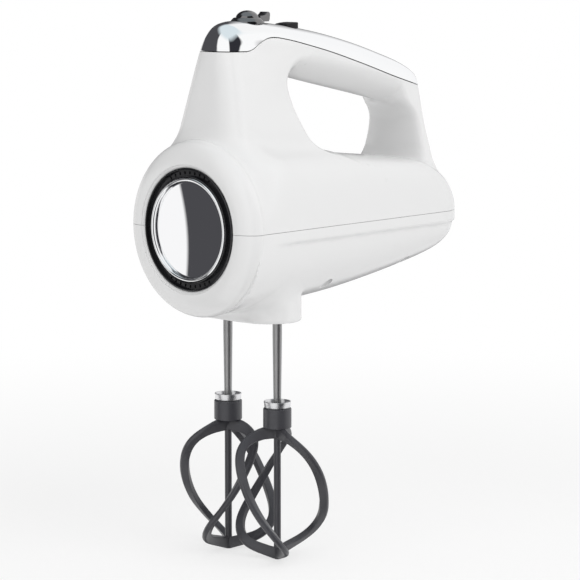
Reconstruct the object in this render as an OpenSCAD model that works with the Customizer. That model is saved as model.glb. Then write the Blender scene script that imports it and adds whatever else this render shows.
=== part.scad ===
// Hand mixer with two three-arm whisks.
// A moulded two-part housing with an open handle carries a bright top cover, a worm motor that turns
// two hollow spindles opposite ways, an ejector over the spindles, a speed lever and a turbo button.
// The modules draw in the motor's frame: Y runs back along the motor axis from the nose, Z is up,
// and place() then stands the mixer with its lowest whisk tip at Z 0.

/* [Body] */
// Length of the housing from the nose to the heel
body_len = 188; // [180:1:200]
// Greatest width of the housing behind the nose drum
body_w = 89; // [84:0.5:90]
// Narrowing of each side per mm towards the back
side_taper = 0.047; // [0.02:0.001:0.06]
// Height of the top of the handle over the motor axis
handle_h = 104.8; // [100:0.2:112]
// Depth of the belly under the motor axis
belly_h = 44.8; // [43:0.2:46]
// Width of the grip
grip_w = 37; // [33:0.5:40]
// Wall of the moulded housing
wall = 2.4; // [1.8:0.1:2.8]
// Gap at the parting lines between the housing pieces
seam_gap = 0.2; // [0.1:0.05:0.3]

/* [Nose] */
// Radius of the nose drum
drum_r = 45.5; // [45:0.1:47]
// Length of the nose drum up to its crease
drum_len = 9; // [8:0.5:10]
// Radius of the round window in the nose
window_r = 31.6; // [30:0.1:32.5]
// Depth of the round window
window_depth = 6; // [5:0.5:7]
// Radial width of the dark vent ring
vent_ring_w = 5; // [4:0.1:6]
// Radial width of the bright trim ring
trim_ring_w = 1.8; // [1.2:0.1:2.4]

/* [Drive] */
// Distance between the two spindle axes
spindle_pitch = 36; // [35.6:0.1:36.6]
// Distance of the spindle axes behind the nose
spindle_y = 47.8; // [46.5:0.1:49]
// Teeth on each worm wheel
wheel_teeth = 24; // [22:1:26]
// Radius of the worm at the pitch line
worm_pitch_r = 4.5; // [4.3:0.1:4.8]
// Radius of the motor shaft
shaft_r = 2.5; // [2.2:0.1:2.8]
// Outer radius of a spindle
spindle_r = 5; // [4.6:0.1:5.4]
// Running clearance of a shaft in its bearing
running_gap = 0.04; // [0.02:0.01:0.08]
// Clearance of a piece in its seat
fit_gap = 0.05; // [0.02:0.01:0.1]
// Radius of the armature
armature_r = 16.6; // [15:0.2:17.2]
// Length of the stator and armature stacks
stack_len = 28; // [22:1:30]
// Radius of the cooling fan
fan_r = 20; // [17:0.5:21]

/* [Beaters] */
// Radius of a beater stem
stem_r = 2.45; // [2.3:0.05:2.6]
// Radius that the stem tapers to at the collar
stem_foot_r = 1.95; // [1.8:0.05:2.2]
// Height of a stem's top over the motor axis
stem_top = 6; // [5:0.5:8]
// Depth of a beater collar's top under the motor axis
collar_drop = 95.6; // [92:0.2:100]
// Radius of a beater collar
collar_r = 7.4; // [7:0.1:8.2]
// Height of a beater collar
collar_h = 10.4; // [9:0.2:12]
// Height of the whisk under the collar
whisk_h = 70; // [64:1:76]
// Radius of the whisk at its widest
whisk_r = 27; // [25:0.2:28]
// Turn of each arm from top to bottom
whisk_turn = 118; // [100:2:130]
// Width of an arm's ribbon
arm_w = 4.8; // [4:0.1:5.2]
// Thickness of an arm's ribbon
arm_t = 3.2; // [2.6:0.1:3.6]

/* [Controls] */
// Radius of the eject button's dome
dome_r = 6.1; // [5.8:0.1:6.6]
// Travel of the eject button
eject_travel = 6; // [4:0.5:6.5]
// Travel of the turbo button
turbo_travel = 2; // [1:0.5:2.5]

/* [Cord inlet] */
// Radius of the cord that the inlet bush grips
cord_r = 3.2; // [2.8:0.1:3.6]
// Length of the inlet bush
gland_len = 20; // [16:1:24]

/* [Hidden] */
$fn = 48;
eps = 0.01;
axis_h = collar_drop + collar_h + whisk_h;
grip_half = grip_w / 2;
shelf_z = 36;          // top of the body beside the finger opening
still_y = 91;          // the housing stretches behind this
tail_len = 28;         // length of the round back end
band_h = 5.2;          // straight band under the parting line
band_step = 1.8;       // step inward under that band
drum_bulge = 12.2;     // depth of the drum's rounded rim
fillet_r = 8;          // fillet between the pillars and the body
dome_y = 44.5;         // axis of the eject button and the speed lever
dial_z = handle_h - 1.8; // floor of the round dial recess in the cover
pad_proud = 0.5;       // the heel pad stands this far out of the shell's back end
window_trim_r = window_r - vent_ring_w;
window_disc_r = window_trim_r - trim_ring_w;

// ---- curves -------------------------------------------------------------------------------------

function clamp01(x) = min(1, max(0, x));
function ease(x) = let(t = clamp01(x)) t * t * (3 - 2 * t);
function mix(a, b, t) = a + (b - a) * t;
function spline(a, b, c, d, t) =
    b + t / 2 * (c - a + t * (2 * a - 5 * b + 4 * c - d + t * (3 * (b - c) + d - a)));
// A point at s along an open list, s counted in points
function along(p, s) = let(n = len(p) - 1, i = min(n - 1, floor(s)), t = s - i)
    spline(p[max(0, i - 1)], p[i], p[i + 1], p[min(n, i + 2)], t);

// ---- the moulded form ---------------------------------------------------------------------------

// The body behind the nose: y, top and underside in the middle plane
spine = [
    [9.4, 44.6, -44.8], [14, 43.9, -44.5], [24, 41.2, -44.0], [36, 38.4, -43.3], [60, 37.2, -41.9],
    [87, 35.6, -39.8], [110, 33.0, -36.9], [133, 30.6, -33.1], [150, 28.8, -29.7], [160, 26.6, -27.2],
    [168, 23.8, -24.6], [174, 19.6, -21.6], [180.5, 13.6, -17.0], [185.2, 8.2, -11.0], [187.5, 4.0, -6.0]
];
// Each row joins the edge of the finger opening to the outer edge of the handle, in the middle plane:
// opening y, z, outer y, z, rounding depth and fullness at the opening, the same at the outer edge.
// The first and last rows lie hidden inside the body.
rows = [
    [94.0, 30.0,  12.0,  30.0,  6, 2.2,  9, 2.5],
    [85.0, 36.0,   9.8,  36.6,  6, 2.2,  9, 2.5],
    [79.0, 38.3,  10.0,  38.6,  6, 2.2,  9, 2.5],
    [74.4, 41.4,  10.5,  42.0,  6, 2.2,  9, 2.5],
    [70.5, 46.5,  11.2,  47.0,  6, 2.2,  9, 2.5],
    [67.0, 53.0,  12.3,  54.0,  6, 2.2,  9, 2.5],
    [64.3, 60.0,  13.5,  62.0,  6, 2.2,  9, 2.5],
    [62.0, 67.5,  15.0,  73.0,  6, 2.2,  9, 2.5],
    [61.3, 72.5,  16.4,  83.0,  7, 2.2,  9, 2.4],
    [63.0, 76.0,  18.2,  92.5,  8, 2.2,  9, 2.3],
    [66.5, 77.0,  20.9,  99.3, 10, 2.2, 11, 2.3],
    [70.0, 75.8,  26.5, 103.8, 12, 2.1, 12, 2.3],
    [77.0, 74.0,  40.0, 104.8, 13, 2.0, 12, 2.3],
    [89.0, 71.4,  63.0, 102.5, 13, 2.0, 11, 2.3],
    [104.0, 68.3, 90.0,  98.2, 13, 2.0, 11, 2.3],
    [120.0, 65.0, 115.0, 92.5, 13, 2.0, 11, 2.3],
    [134.0, 62.0, 137.0, 86.3, 13, 2.0, 10, 2.3],
    [143.5, 60.0, 153.0, 81.2, 12, 2.0,  9, 2.2],
    [150.0, 58.0, 163.0, 75.5,  8, 2.2,  8, 2.1],
    [154.5, 54.5, 166.6, 67.0,  4, 2.4,  8, 2.1],
    [157.4, 49.5, 168.4, 56.0,  4, 2.6,  9, 2.0],
    [158.2, 43.5, 169.6, 45.0,  4, 2.6,  9, 2.0],
    [158.2, 37.5, 170.4, 36.0,  4, 2.6, 10, 2.0],
    [157.6, 31.0, 170.4, 28.0,  4, 2.6, 12, 2.0],
    [154.0, 25.0, 168.0, 21.0,  6, 2.4, 12, 2.0],
    [146.0, 20.0, 163.0, 16.0,  6, 2.4, 12, 2.0]
];

// The form stretches with the driving sizes: length behind the opening's front, height over the
// body's shelf, depth under the axis
table_len = max([for (p = spine) p.x]) + pad_proud;
table_h = max([for (r = rows) r[3]]);
table_belly = -min([for (p = spine) p.z]);
function stretch_y(y) = y < still_y ? y
    : still_y + (y - still_y) * (body_len - still_y) / (table_len - still_y);
function stretch_z(z) = z > shelf_z ? shelf_z + (z - shelf_z) * (handle_h - shelf_z) / (table_h - shelf_z)
    : z < 0 ? z * belly_h / table_belly : z;
function place_row(r) = [stretch_y(r[0]), stretch_z(r[1]), stretch_y(r[2]), stretch_z(r[3]),
    r[4], r[5], r[6], r[7]];
outline = [for (r = rows) place_row(r)];
backbone = [for (p = spine) [stretch_y(p.x), p.y, stretch_z(p.z)]];

// Height of the body's top at y, half width at the axis, and how square its upper half is
function body_top(y) = lookup(y, [for (p = backbone) [p.x, p.y]]);
function body_side(y) = let(past = max(0, y - (body_len - tail_len)) / tail_len)
    (body_w / 2 - side_taper * (y - drum_len)) * sqrt(max(0.001, 1 - past * past));
function fullness(y) = mix(mix(2, 5, ease((y - drum_len) / 26)), 2.8, ease((y - 140) / 40));
// Height of the body's surface at x beside the middle plane
function body_top_at(x, y) = let(n = fullness(y), share = min(1, x / body_side(y)))
    body_top(y) * pow(max(0.01, 1 - pow(share, n)), 1 / n);
// Height of the inside of the belly in the middle plane
function belly_floor(y) = lookup(y, [for (p = backbone) [p.x, p.z]]) + wall;
// Half width of the pillars and the grip, and the fillet that spreads it over the body's surface
function flank(y, z) =
    let(front = 13.1 + 0.245 * (stretch_z(89) - z),
        grip = mix(front, grip_half, ease((y - 20) / 42) * ease((z - 48) / 34)),
        rear = grip_half - 1.2 + 0.0062 * pow(max(0, stretch_z(70) - z), 2))
    mix(grip, rear, ease((y - 112) / 40));
function spread(y, z, x) =
    let(r = mix(fillet_r, 2, ease((y - 100) / 40)), t = 1 - clamp01((z - body_top_at(x + r, y)) / r))
    r * (1 - sqrt(1 - t * t));
function handle_half(y, z) = let(x = flank(y, z)) max(6, min(x + spread(y, z, x), body_side(y) - 5));

// One side of a closed section of the handle, from the opening's edge to the outer edge
function half_section(s, inset, n_round, n_flat) =
    let(row = along(outline, s), a = [row[0], row[1]], b = [row[2], row[3]],
        span = norm(b - a), u = (b - a) / span, room = span - 2 * inset,
        ri = min(max(2, row[4] - inset), room / 3), ro = min(max(2, row[6] - inset), room - ri - 0.3),
        near = inset + ri, far = span - inset - ro)
    [
        for (k = [0:n_round]) rounded_point(a, u, ri, row[5], k / n_round, inset),
        for (k = [1:n_flat]) half_point(a + u * mix(near, far, k / (n_flat + 1)), inset, 1),
        for (k = [n_round:-1:0]) rounded_point(b, -u, ro, row[7], k / n_round, inset)
    ];
function half_point(p, inset, share) = [(handle_half(p.x, p.y) - inset) * share, p.x, p.y];
// A point on the rounding of depth r behind the edge point p, at a share of its quarter turn
function rounded_point(p, u, r, full, share, inset) =
    half_point(p + u * (inset + r * (1 - pow(cos(90 * share), 2 / full))), inset,
        share == 0 ? 0 : pow(sin(90 * share), 2 / full));
// One side of a closed section of the body, from its top down to its underside. A straight band under
// the parting line ends in a soft step inward.
function body_section(s, inset, n) =
    let(p = along(backbone, s), tail_y = body_len - tail_len,
        y = p.x < tail_y ? p.x : tail_y + (p.x - tail_y) * (1 - inset / tail_len),
        side = body_side(p.x) * (1 - inset / body_side(0)), q = 2 / fullness(p.x),
        top = max(0.4, p.y - inset), low = min(-0.6, p.z + inset), depth = clamp01(-low / 20),
        tuck = band_step * ease((p.x - 14) / 24) * clamp01(side / 20))
    [
        for (k = [0:n]) let(t = 90 * k / n)
            [k == 0 ? 0 : side * pow(sin(t), q), y, k == n ? 0 : top * pow(cos(t), q)],
        [side, y, -band_h * depth],
        for (k = [0:n]) let(t = 90 * k / n, drop = pow(sin(t), 0.95))
            [k == n ? 0 : (side - tuck) * pow(cos(t), 0.95), y, mix(-(band_h + 2) * depth, low, drop)]
    ];
// One side of a round section of the nose drum at a share of its bulge, on the same number of points
function nose_section(share, n) =
    let(r = drum_r - drum_bulge * (1 - sin(90 * share)), y = drum_len * (1 - cos(90 * share)),
        low = asin((band_h + 2) / r))
    [
        for (k = [0:n]) let(t = 90 * k / n) [k == 0 ? 0 : r * sin(t), y, k == n ? 0 : r * cos(t)],
        [r * cos(asin(band_h / r)), y, -band_h],
        for (k = [0:n]) let(t = mix(low, 90, k / n)) [k == n ? 0 : r * cos(t), y, -r * sin(t)]
    ];
// A closed ring of points: one side out, the mirrored side back
function ring(h) = let(n = len(h)) concat(h, [for (i = [n - 2:-1:1]) [-h[i].x, h[i].y, h[i].z]]);

// Skin between closed rings, with flat ends
module skin(rings) {
    n = len(rings);
    m = len(rings[0]);
    sides = [for (i = [0:n - 2], j = [0:m - 1])
        let(a = i * m + j, b = i * m + (j + 1) % m, c = (i + 1) * m + j, d = (i + 1) * m + (j + 1) % m)
        each [[a, c, b], [b, c, d]]];
    caps = [[for (j = [0:m - 1]) j], [for (j = [m - 1:-1:0]) (n - 1) * m + j]];
    polyhedron([for (r = rings) each r], concat(sides, caps), convexity = 8);
}
module handle(inset, per_row, n_round, n_flat) {
    n = (len(outline) - 1) * per_row;
    skin([for (i = [n:-1:0]) ring(half_section(i / per_row, inset, n_round, n_flat))]);
}
// The body starts with the bulge of the nose drum, which the hollow leaves solid
module body(inset, n_round) {
    nose_steps = 5;
    skin(concat(
        inset > 0 ? [] : [for (i = [0:nose_steps]) ring(nose_section(i / nose_steps, n_round))],
        [for (s = [0:len(backbone) - 1]) ring(body_section(s, inset, n_round))]));
}

// ---- helpers ------------------------------------------------------------------------------------

module place() translate([0, -body_len / 2, axis_h]) children();
module along_y(y) translate([0, y, 0]) rotate([-90, 0, 0]) children();
// A tube along +Z
module tube(r_out, r_in, h) {
    difference() {
        cylinder(r = r_out, h = h);
        translate([0, 0, -1]) cylinder(r = r_in, h = h + 2);
    }
}
// A block given by its lowest and highest corner
module block(lo, hi) translate(lo) cube(hi - lo);
module at_spindle(side) translate([side * spindle_pitch / 2, spindle_y, 0]) children();

// ---- housing ------------------------------------------------------------------------------------

boss_bottom = -50;
boss_half = [29, 16.5];
ledge_z = handle_h - 22.8;       // ledge that carries the circuit board
spring_shelf_z = 56;   // shelf that the eject spring stands on
shelf_t = 2;
rib_t = 3;
rod_r = 3;
rod_gap = 0.4;
frame_drop = 17;       // depth of the gearbox frame's floor under the axis
frame_t = 4;
frame_half_x = 34;
frame_y = [27.5, 68.5];
fan_y = 74;
stator_y = 89;
stator_half = [27, 25.5];
rib_y = [stator_y + 5, stator_y + 23];
bracket_y = 143;
bracket_t = 5;
bracket_half = 17;
// The bracket stands on a rib of this height on the floor of the belly
bracket_z = belly_floor(bracket_y + bracket_t) + 4;
post_r = 5;
post_front = [fan_r + post_r + 1.5, frame_y[1] + post_r + 2.2];
post_back = [24, bracket_y - 3];
post_top = 60;         // the posts run up into the roof of the body
screw_seat_z = -20;

// The chin that the beaters come out of
module boss(inset) {
    lip = 1.2;
    hull() for (x = [-1, 1]) translate([x * (boss_half.x - boss_half.y), spindle_y, boss_bottom + inset]) {
        cylinder(r = boss_half.y - inset - lip, h = 1, $fn = 32);
        translate([0, 0, lip]) cylinder(r = boss_half.y - inset, h = 28, $fn = 32);
    }
}
module posts(r, z0, z1) {
    for (x = [-1, 1], p = [post_front, post_back]) translate([x * p.x, p.y, z0]) cylinder(r = r, h = z1 - z0);
}
// The hollow in the upper housing, less the posts, shelves and pads that stand in it
module upper_hollow() {
    difference() {
        union() {
            body(wall, 5);
            handle(wall, 1, 2, 2);
        }
        posts(post_r, -1, post_top);
        board_ledges();
        block([-turbo_switch_half, turbo_switch_y[0] + 1, spring_shelf_z],
            [turbo_switch_half, turbo_switch_y[1] - 1, turbo_switch_z]);
        block([-40, 10, spring_shelf_z - shelf_t], [40, 80, spring_shelf_z]);
    }
}
// The ledge under the circuit board, open round the eject rod
module board_ledges() {
    difference() {
        block([-30, 10, ledge_z - shelf_t], [30, 64, ledge_z]);
        block([-8, 30, ledge_z - shelf_t - 1], [8, 56, ledge_z + 1]);
    }
}
// The hollow in the lower housing, less its posts and the ribs under the stator, bracket and gearbox
module lower_hollow() {
    difference() {
        union() {
            body(wall, 5);
            boss(wall);
        }
        posts(post_r, -60, 1);
        for (y = rib_y) block([-20, y, -60], [20, y + rib_t, -stator_half.y]);
        block([-20, bracket_y, -60], [20, bracket_y + bracket_t, bracket_z]);
        for (y = [frame_y[0] - rib_t + 1, frame_y[1] - 1])
            block([-36, y, -60], [36, y + rib_t - 1, -frame_drop - frame_t]);
    }
}
// Half space over or under a height
module over(z) block([-80, -20, z], [80, 230, 150]);
module under(z) block([-80, -20, -90], [80, 230, z]);

// The cover's lower edge along the side, y and z, from the front of the pillar to the tail
cover_edge = [
    [-5, 89.7], [24, 89.7], [31, 89.8], [35, 91.2], [39, 93.8], [43.5, 95.9], [48, 96.4], [54, 95.6],
    [68, 92.7], [90, 87.5], [114, 80.8], [138, 74], [157, 68.8], [168, 65.4], [185, 60]
];
// All that lies over the cover's edge, raised by gap
module over_edge(gap) {
    n = (len(cover_edge) - 1) * 3;
    rotate([90, 0, 90]) translate([0, 0, -60]) linear_extrude(height = 120) polygon(concat(
        [for (i = [0:n]) let(p = along(cover_edge, i / 3)) [stretch_y(p.x), stretch_z(p.y) + gap]],
        [[stretch_y(185), 140], [-5, 140]]));
}

spindle_mouth = -44;   // lower end of the spindles
bush_r = spindle_r + 2.5;

module upper_housing() color("whitesmoke") place() difference() {
    union() {
        body(0, 8);
        handle(0, 2, 4, 3);
    }
    upper_hollow();
    under(seam_gap / 2);
    over_edge(-seam_gap / 2);
    window();
    posts(screw_shank_r + fit_gap, -1, screw_seat_z + screw_len + 6);
    translate([0, dome_y, spring_shelf_z - 5]) cylinder(r = rod_r + rod_gap, h = 10);
    inlet_hole();
}
module lower_housing() color("whitesmoke") place() difference() {
    union() {
        body(0, 8);
        boss(0);
    }
    lower_hollow();
    over(-seam_gap / 2);
    window();
    posts(screw_shank_r + 0.75, -60, 1);
    posts(screw_head_r + 0.5, -60, screw_seat_z);
    for (side = [-1, 1]) at_spindle(side)
        translate([0, 0, boss_bottom - 1]) cylinder(r = spindle_r + 1.5, h = 8);
    heel_recess();
}
// The round pocket that the nose rings sit in, with a bevelled rim
module window() {
    along_y(-1) cylinder(r = window_r, h = window_depth + 1, $fn = 96);
    along_y(-eps) cylinder(r1 = window_r + 1.6, r2 = window_r - eps, h = 1, $fn = 96);
}
module top_cover() color("silver") place() difference() {
    intersection() {
        handle(0, 2, 4, 3);
        over_edge(seam_gap / 2);
    }
    handle(wall, 1, 2, 2);
    translate([0, dome_y, dial_z]) cylinder(r = dial_r + lever_gap, h = 10);
    translate([0, dome_y, ledge_z]) cylinder(r = lever_tube_r + lever_gap, h = 40);
    turbo_slot();
}

// ---- nose ---------------------------------------------------------------------------------------

module nose_ring() color("black") place() difference() {
    along_y(0) rotate_extrude($fn = 96) polygon(concat(
        [[window_trim_r + fit_gap, window_depth], [window_r - fit_gap, window_depth],
            [window_r - fit_gap, 0.8], [window_r - 0.8, 0.5]],
        [for (t = [0:15:180]) [window_r - vent_ring_w / 2 - 0.1 + (vent_ring_w / 2 - 0.9) * cos(t),
            0.6 + 2 * sin(t)]],
        [[window_trim_r + fit_gap, 0.8]]));
    for (a = [-28:7:28], top = [0, 180]) rotate([0, a + top, 0])
        block([-0.7, -1, window_trim_r + 1.6], [0.7, window_depth + 1, window_r - 1.8]);
}
module nose_trim_ring() color("silver") place() along_y(0) rotate_extrude($fn = 96) polygon(concat(
    [[window_disc_r + fit_gap, window_depth], [window_trim_r - fit_gap, window_depth],
        [window_trim_r - fit_gap, 0.9]],
    [for (t = [0:20:180]) [window_trim_r - trim_ring_w / 2 + (trim_ring_w / 2 - 0.1) * cos(t),
        0.9 - 0.8 * sin(t)]],
    [[window_disc_r + fit_gap, 0.9]]));
module nose_disc() color("gainsboro") place() along_y(0) rotate_extrude($fn = 96) polygon(concat(
    [[0, window_depth], [window_disc_r - fit_gap, window_depth], [window_disc_r - fit_gap, 2.4]],
    [for (t = [8:-1:0]) [(window_disc_r - 0.6) * t / 8, 2 - 1.5 * (1 - pow(t / 8, 2))]]));

// ---- controls -----------------------------------------------------------------------------------

dial_r = 8.8;
lever_tube_r = dome_r + 1.4;
lever_gap = 0.4;
lever_bottom = ledge_z + 8.4;
button_bottom = lever_bottom + 3.6;
rod_collar_z = ledge_z - 4;
gear_top = 9;          // height of the gearbox bridge over the axis
bridge_t = 5;
stop_gap = 0.4;
// Underside of the eject bridge, its travel over the gearbox bridge
bridge_z = gear_top + bridge_t + eject_travel + stop_gap;
eject_bridge_t = 4.6;
pin_r = 2.1;

module eject_button() color("#303236") place() translate([0, dome_y, 0]) rotate_extrude() polygon(concat(
    [[0, button_bottom], [dome_r - 2, button_bottom], [dome_r, button_bottom + 2], [dome_r, dial_z + 2.6]],
    [for (t = [10:10:90]) [dome_r * cos(t), dial_z + 2.6 + 4.4 * sin(t)]]));
module eject_rod() color("lightgray") place() translate([0, dome_y, 0]) {
    rod_bottom = bridge_z + eject_bridge_t;
    translate([0, 0, rod_bottom]) cylinder(r = rod_r, h = button_bottom - rod_bottom);
    translate([0, 0, rod_collar_z]) cylinder(r = 5.6, h = 2);
}
module eject_bridge() color("lightgray") place() {
    hull() for (x = [-1, 1], y = [spindle_y, dome_y]) translate([x * spindle_pitch / 2, y, bridge_z])
        cylinder(r = 4, h = eject_bridge_t, $fn = 32);
    pin_z = stem_top + 0.3;
    for (side = [-1, 1]) at_spindle(side)
        translate([0, 0, pin_z]) cylinder(r = pin_r, h = bridge_z - pin_z + 1);
}
// A round wire wound between the shelf and the rod's collar
module eject_spring() color("silver") place() translate([0, dome_y, spring_shelf_z]) {
    wire = 0.5;
    coil_r = 4.6;
    turns = 6;
    steps = 14;
    h = rod_collar_z - spring_shelf_z - 2 * wire - 0.1;
    skin([for (i = [0:turns * steps]) let(a = i * 360 / steps)
        [for (k = [0:4]) let(b = -72 * k, r = coil_r + wire * cos(b))
            [r * cos(a), r * sin(a), wire + 0.05 + h * i / (turns * steps) + wire * sin(b)]]]);
}
module speed_lever() color("#26282b") place() translate([0, dome_y, 0]) difference() {
    union() {
        translate([0, 0, lever_bottom]) cylinder(r = lever_tube_r, h = dial_z - lever_bottom + 1);
        translate([0, 0, dial_z + 0.2]) cylinder(r = dial_r, h = 1.2);
        translate([0, 0, dial_z + 1.4]) cylinder(r1 = dial_r - 0.8, r2 = lever_tube_r, h = 1.4);
        lever_arm();
    }
    translate([0, 0, lever_bottom - 1]) cylinder(r = dome_r + lever_gap - 0.05, h = 40);
}
// The thumb piece: a saddle behind the dome that sweeps up to a fin
module lever_arm() {
    fin_half = 2.6;
    fin_back = 14.3;
    rotate([90, 0, 90]) translate([0, dial_z, -fin_half]) linear_extrude(2 * fin_half) polygon(concat(
        [[7, 1.1], [fin_back - 0.9, 1.1], [fin_back, 3], [fin_back - 0.1, 5.4],
            [fin_back - 0.7, 6.1], [fin_back - 1.7, 6.1]],
        [for (t = [0:15:90]) [8.6 + 3.4 * cos(t), 6 - 1.8 * sin(t)]], [[7, 4.1]]));
}
switch_bore_r = 6.4;
module speed_switch() color("#404040") place() difference() {
    block([-9.5, 29, ledge_z + board_t], [9.5, 56, lever_bottom - 0.3]);
    translate([0, dome_y, ledge_z]) cylinder(r = switch_bore_r, h = 20);
}
board_t = 1.6;
module circuit_board() color("seagreen") place() difference() {
    block([-9.8, 26, ledge_z], [9.8, 58.5, ledge_z + board_t]);
    translate([0, dome_y, ledge_z - 1]) cylinder(r = switch_bore_r, h = 20);
}
turbo_y = [69.2, 78.6];
turbo_half_x = 4.2;
turbo_gap = 0.3;
turbo_top = dial_z + 0.3;
turbo_switch_half = 4.5;
turbo_switch_y = [66, 82];
turbo_switch_z = ledge_z - 1.5;
plunger_top = turbo_switch_z + 7.5;
module turbo_slot() block([-turbo_half_x - turbo_gap, turbo_y[0] - turbo_gap, turbo_switch_z],
    [turbo_half_x + turbo_gap, turbo_y[1] + turbo_gap, turbo_top + 20]);
// The top falls away to the front, so the back edge stands proud
module turbo_button() color("#1c1d1f") place() difference() {
    block([-turbo_half_x, turbo_y[0], plunger_top + turbo_travel + 0.2],
        [turbo_half_x, turbo_y[1], turbo_top]);
    translate([-20, turbo_y[0] - 1, turbo_top - 1.1]) rotate([4, 0, 0]) cube([40, 30, 20]);
}
module turbo_switch() color("#404040") place() {
    block([-turbo_switch_half, turbo_switch_y[0], turbo_switch_z],
        [turbo_switch_half, turbo_switch_y[1], plunger_top - 2]);
    translate([0, (turbo_y[0] + turbo_y[1]) / 2, plunger_top - 2]) cylinder(r = 2.2, h = 2);
}

// ---- drive --------------------------------------------------------------------------------------

wheel_pitch_r = spindle_pitch / 2 - worm_pitch_r;
worm_lead = 2 * PI * wheel_pitch_r / wheel_teeth;
tooth_h = 1.15;
wheel_t = 5;
worm_turns = 7;
wheel_root_r = wheel_pitch_r - tooth_h - 0.35;
worm_root_r = worm_pitch_r - tooth_h - 0.35;
bearing_r = 6.5;
bearing_len = 5;

module gearbox_frame() color("silver") place() difference() {
    union() {
        block([-frame_half_x, frame_y[0], -frame_drop - frame_t], [frame_half_x, frame_y[1], -frame_drop]);
        for (y = [frame_y[0], frame_y[1] - bearing_len])
            block([-11, y, -frame_drop - 1], [11, y + bearing_len, gear_top - 1]);
        gearbox_posts(3.6, -frame_drop - 1, gear_top);
    }
    along_y(0) cylinder(r = bearing_r + fit_gap, h = 100);
    for (side = [-1, 1]) at_spindle(side) translate([0, 0, -40]) cylinder(r = bush_r + fit_gap, h = 40);
    gearbox_posts(screw_shank_r + fit_gap, 0, gear_top + 1);
}
module gearbox_posts(r, z0, z1) {
    corner = 4;
    for (x = [-1, 1], y = [frame_y[0] + corner, frame_y[1] - corner])
        translate([x * (frame_half_x - corner), y, z0]) cylinder(r = r, h = z1 - z0);
}
module gearbox_bridge() color("silver") place() difference() {
    union() {
        for (side = [-1, 1]) at_spindle(side) translate([0, 0, gear_top])
            cylinder(r = bush_r + 3, h = bridge_t);
        block([-frame_half_x, frame_y[0], gear_top], [frame_half_x, frame_y[1], gear_top + strap_t]);
    }
    for (side = [-1, 1]) at_spindle(side) cylinder(r = bush_r + fit_gap, h = 40);
    gearbox_posts(screw_shank_r + 0.5, 0, 40);
}
strap_t = 2.6;
module gearbox_screws() color("gray") place() {
    gearbox_posts(screw_shank_r, 2, gear_top + strap_t + 1);
    gearbox_posts(screw_head_r, gear_top + strap_t, gear_top + strap_t + 2);
}
module bush_ring(z, h) for (side = [-1, 1]) at_spindle(side) translate([0, 0, z])
    tube(bush_r, spindle_r + running_gap, h);
module lower_bushes() color("peru") place() bush_ring(-frame_drop - frame_t - 3, frame_t + 6);
module upper_bushes() color("peru") place() bush_ring(gear_top - 0.8, bridge_t + 0.8);

// Motor shaft with the worm cut on it
module motor_shaft() color("silver") place() {
    along_y(frame_y[0] - 3) cylinder(r = shaft_r, h = bracket_y + bracket_t + 3 - frame_y[0]);
    along_y(spindle_y - worm_turns / 2 * worm_lead - 1)
        cylinder(r = worm_root_r + 0.3, h = worm_turns * worm_lead + 2);
    worm_thread();
}
module worm_thread() {
    steps = 16;
    root = worm_root_r;
    tip = worm_pitch_r + tooth_h;
    foot = worm_lead * 0.30;
    crest = worm_lead * 0.13;
    skin([for (i = [0:worm_turns * steps]) let(a = 360 * i / steps,
            y = spindle_y + worm_lead * (i / steps - worm_turns / 2))
        [for (p = [[root, -foot], [root, foot], [tip, crest], [tip, -crest]])
            [p[0] * cos(a), y + p[1], -p[0] * sin(a)]]]);
}
function polar(r, a) = r * [cos(a), sin(a)];
// A worm wheel: trapezoid teeth with backlash
module worm_wheel(side) {
    step = 360 / wheel_teeth;
    half_root = worm_lead * 0.27 / wheel_root_r * 180 / PI;
    half_tip = worm_lead * 0.12 / (wheel_pitch_r + tooth_h) * 180 / PI;
    tip = wheel_pitch_r + tooth_h;
    // the worm's thread faces the right wheel half a pitch from where it faces the left one
    facing = side > 0 ? 180 + step / 2 : 0;
    at_spindle(side) difference() {
        union() {
            translate([0, 0, -wheel_t / 2]) linear_extrude(height = wheel_t) polygon([
                for (i = [0:wheel_teeth - 1]) let(a = facing + step * (i + 0.5)) each [
                    polar(wheel_root_r, a - half_root), polar(tip, a - half_tip),
                    polar(tip, a + half_tip), polar(wheel_root_r, a + half_root)]]);
            translate([0, 0, -wheel_t / 2 - 3]) cylinder(r = spindle_r + 2.4, h = wheel_t + 6);
        }
        translate([0, 0, -20]) cylinder(r = spindle_r + fit_gap, h = 40);
    }
}
module worm_wheel_right() color("ivory") place() worm_wheel(1);
module worm_wheel_left() color("ivory") place() worm_wheel(-1);

module spindle(side) at_spindle(side) difference() {
    translate([0, 0, spindle_mouth]) cylinder(r = spindle_r, h = gear_top + bridge_t - spindle_mouth);
    translate([0, 0, spindle_mouth - 1]) cylinder(r = stem_r + fit_gap, h = 80);
    // slots for the stem's drive wings
    block([-spindle_r - 1, -wing_t / 2 - wing_gap, spindle_mouth - 1],
        [spindle_r + 1, wing_t / 2 + wing_gap, wing_z + wing_h + 2 * wing_gap]);
    // groove for the detent clip
    translate([0, 0, clip_z - 0.1]) tube(spindle_r + 1, spindle_r - 0.8, 1.4);
}
module spindle_right() color("gray") place() spindle(1);
module spindle_left() color("gray") place() spindle(-1);
wing_t = 1.6;
wing_gap = 0.15;
wing_h = 5;
wing_z = spindle_mouth + 1;
clip_z = -31;
module detent_clip(side) at_spindle(side) translate([0, 0, clip_z]) rotate([0, 0, 30])
    rotate_extrude(angle = 300) translate([spindle_r - 0.75, 0]) square([1.5, 1.2]);
module detent_clip_right() color("silver") place() detent_clip(1);
module detent_clip_left() color("silver") place() detent_clip(-1);

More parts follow.
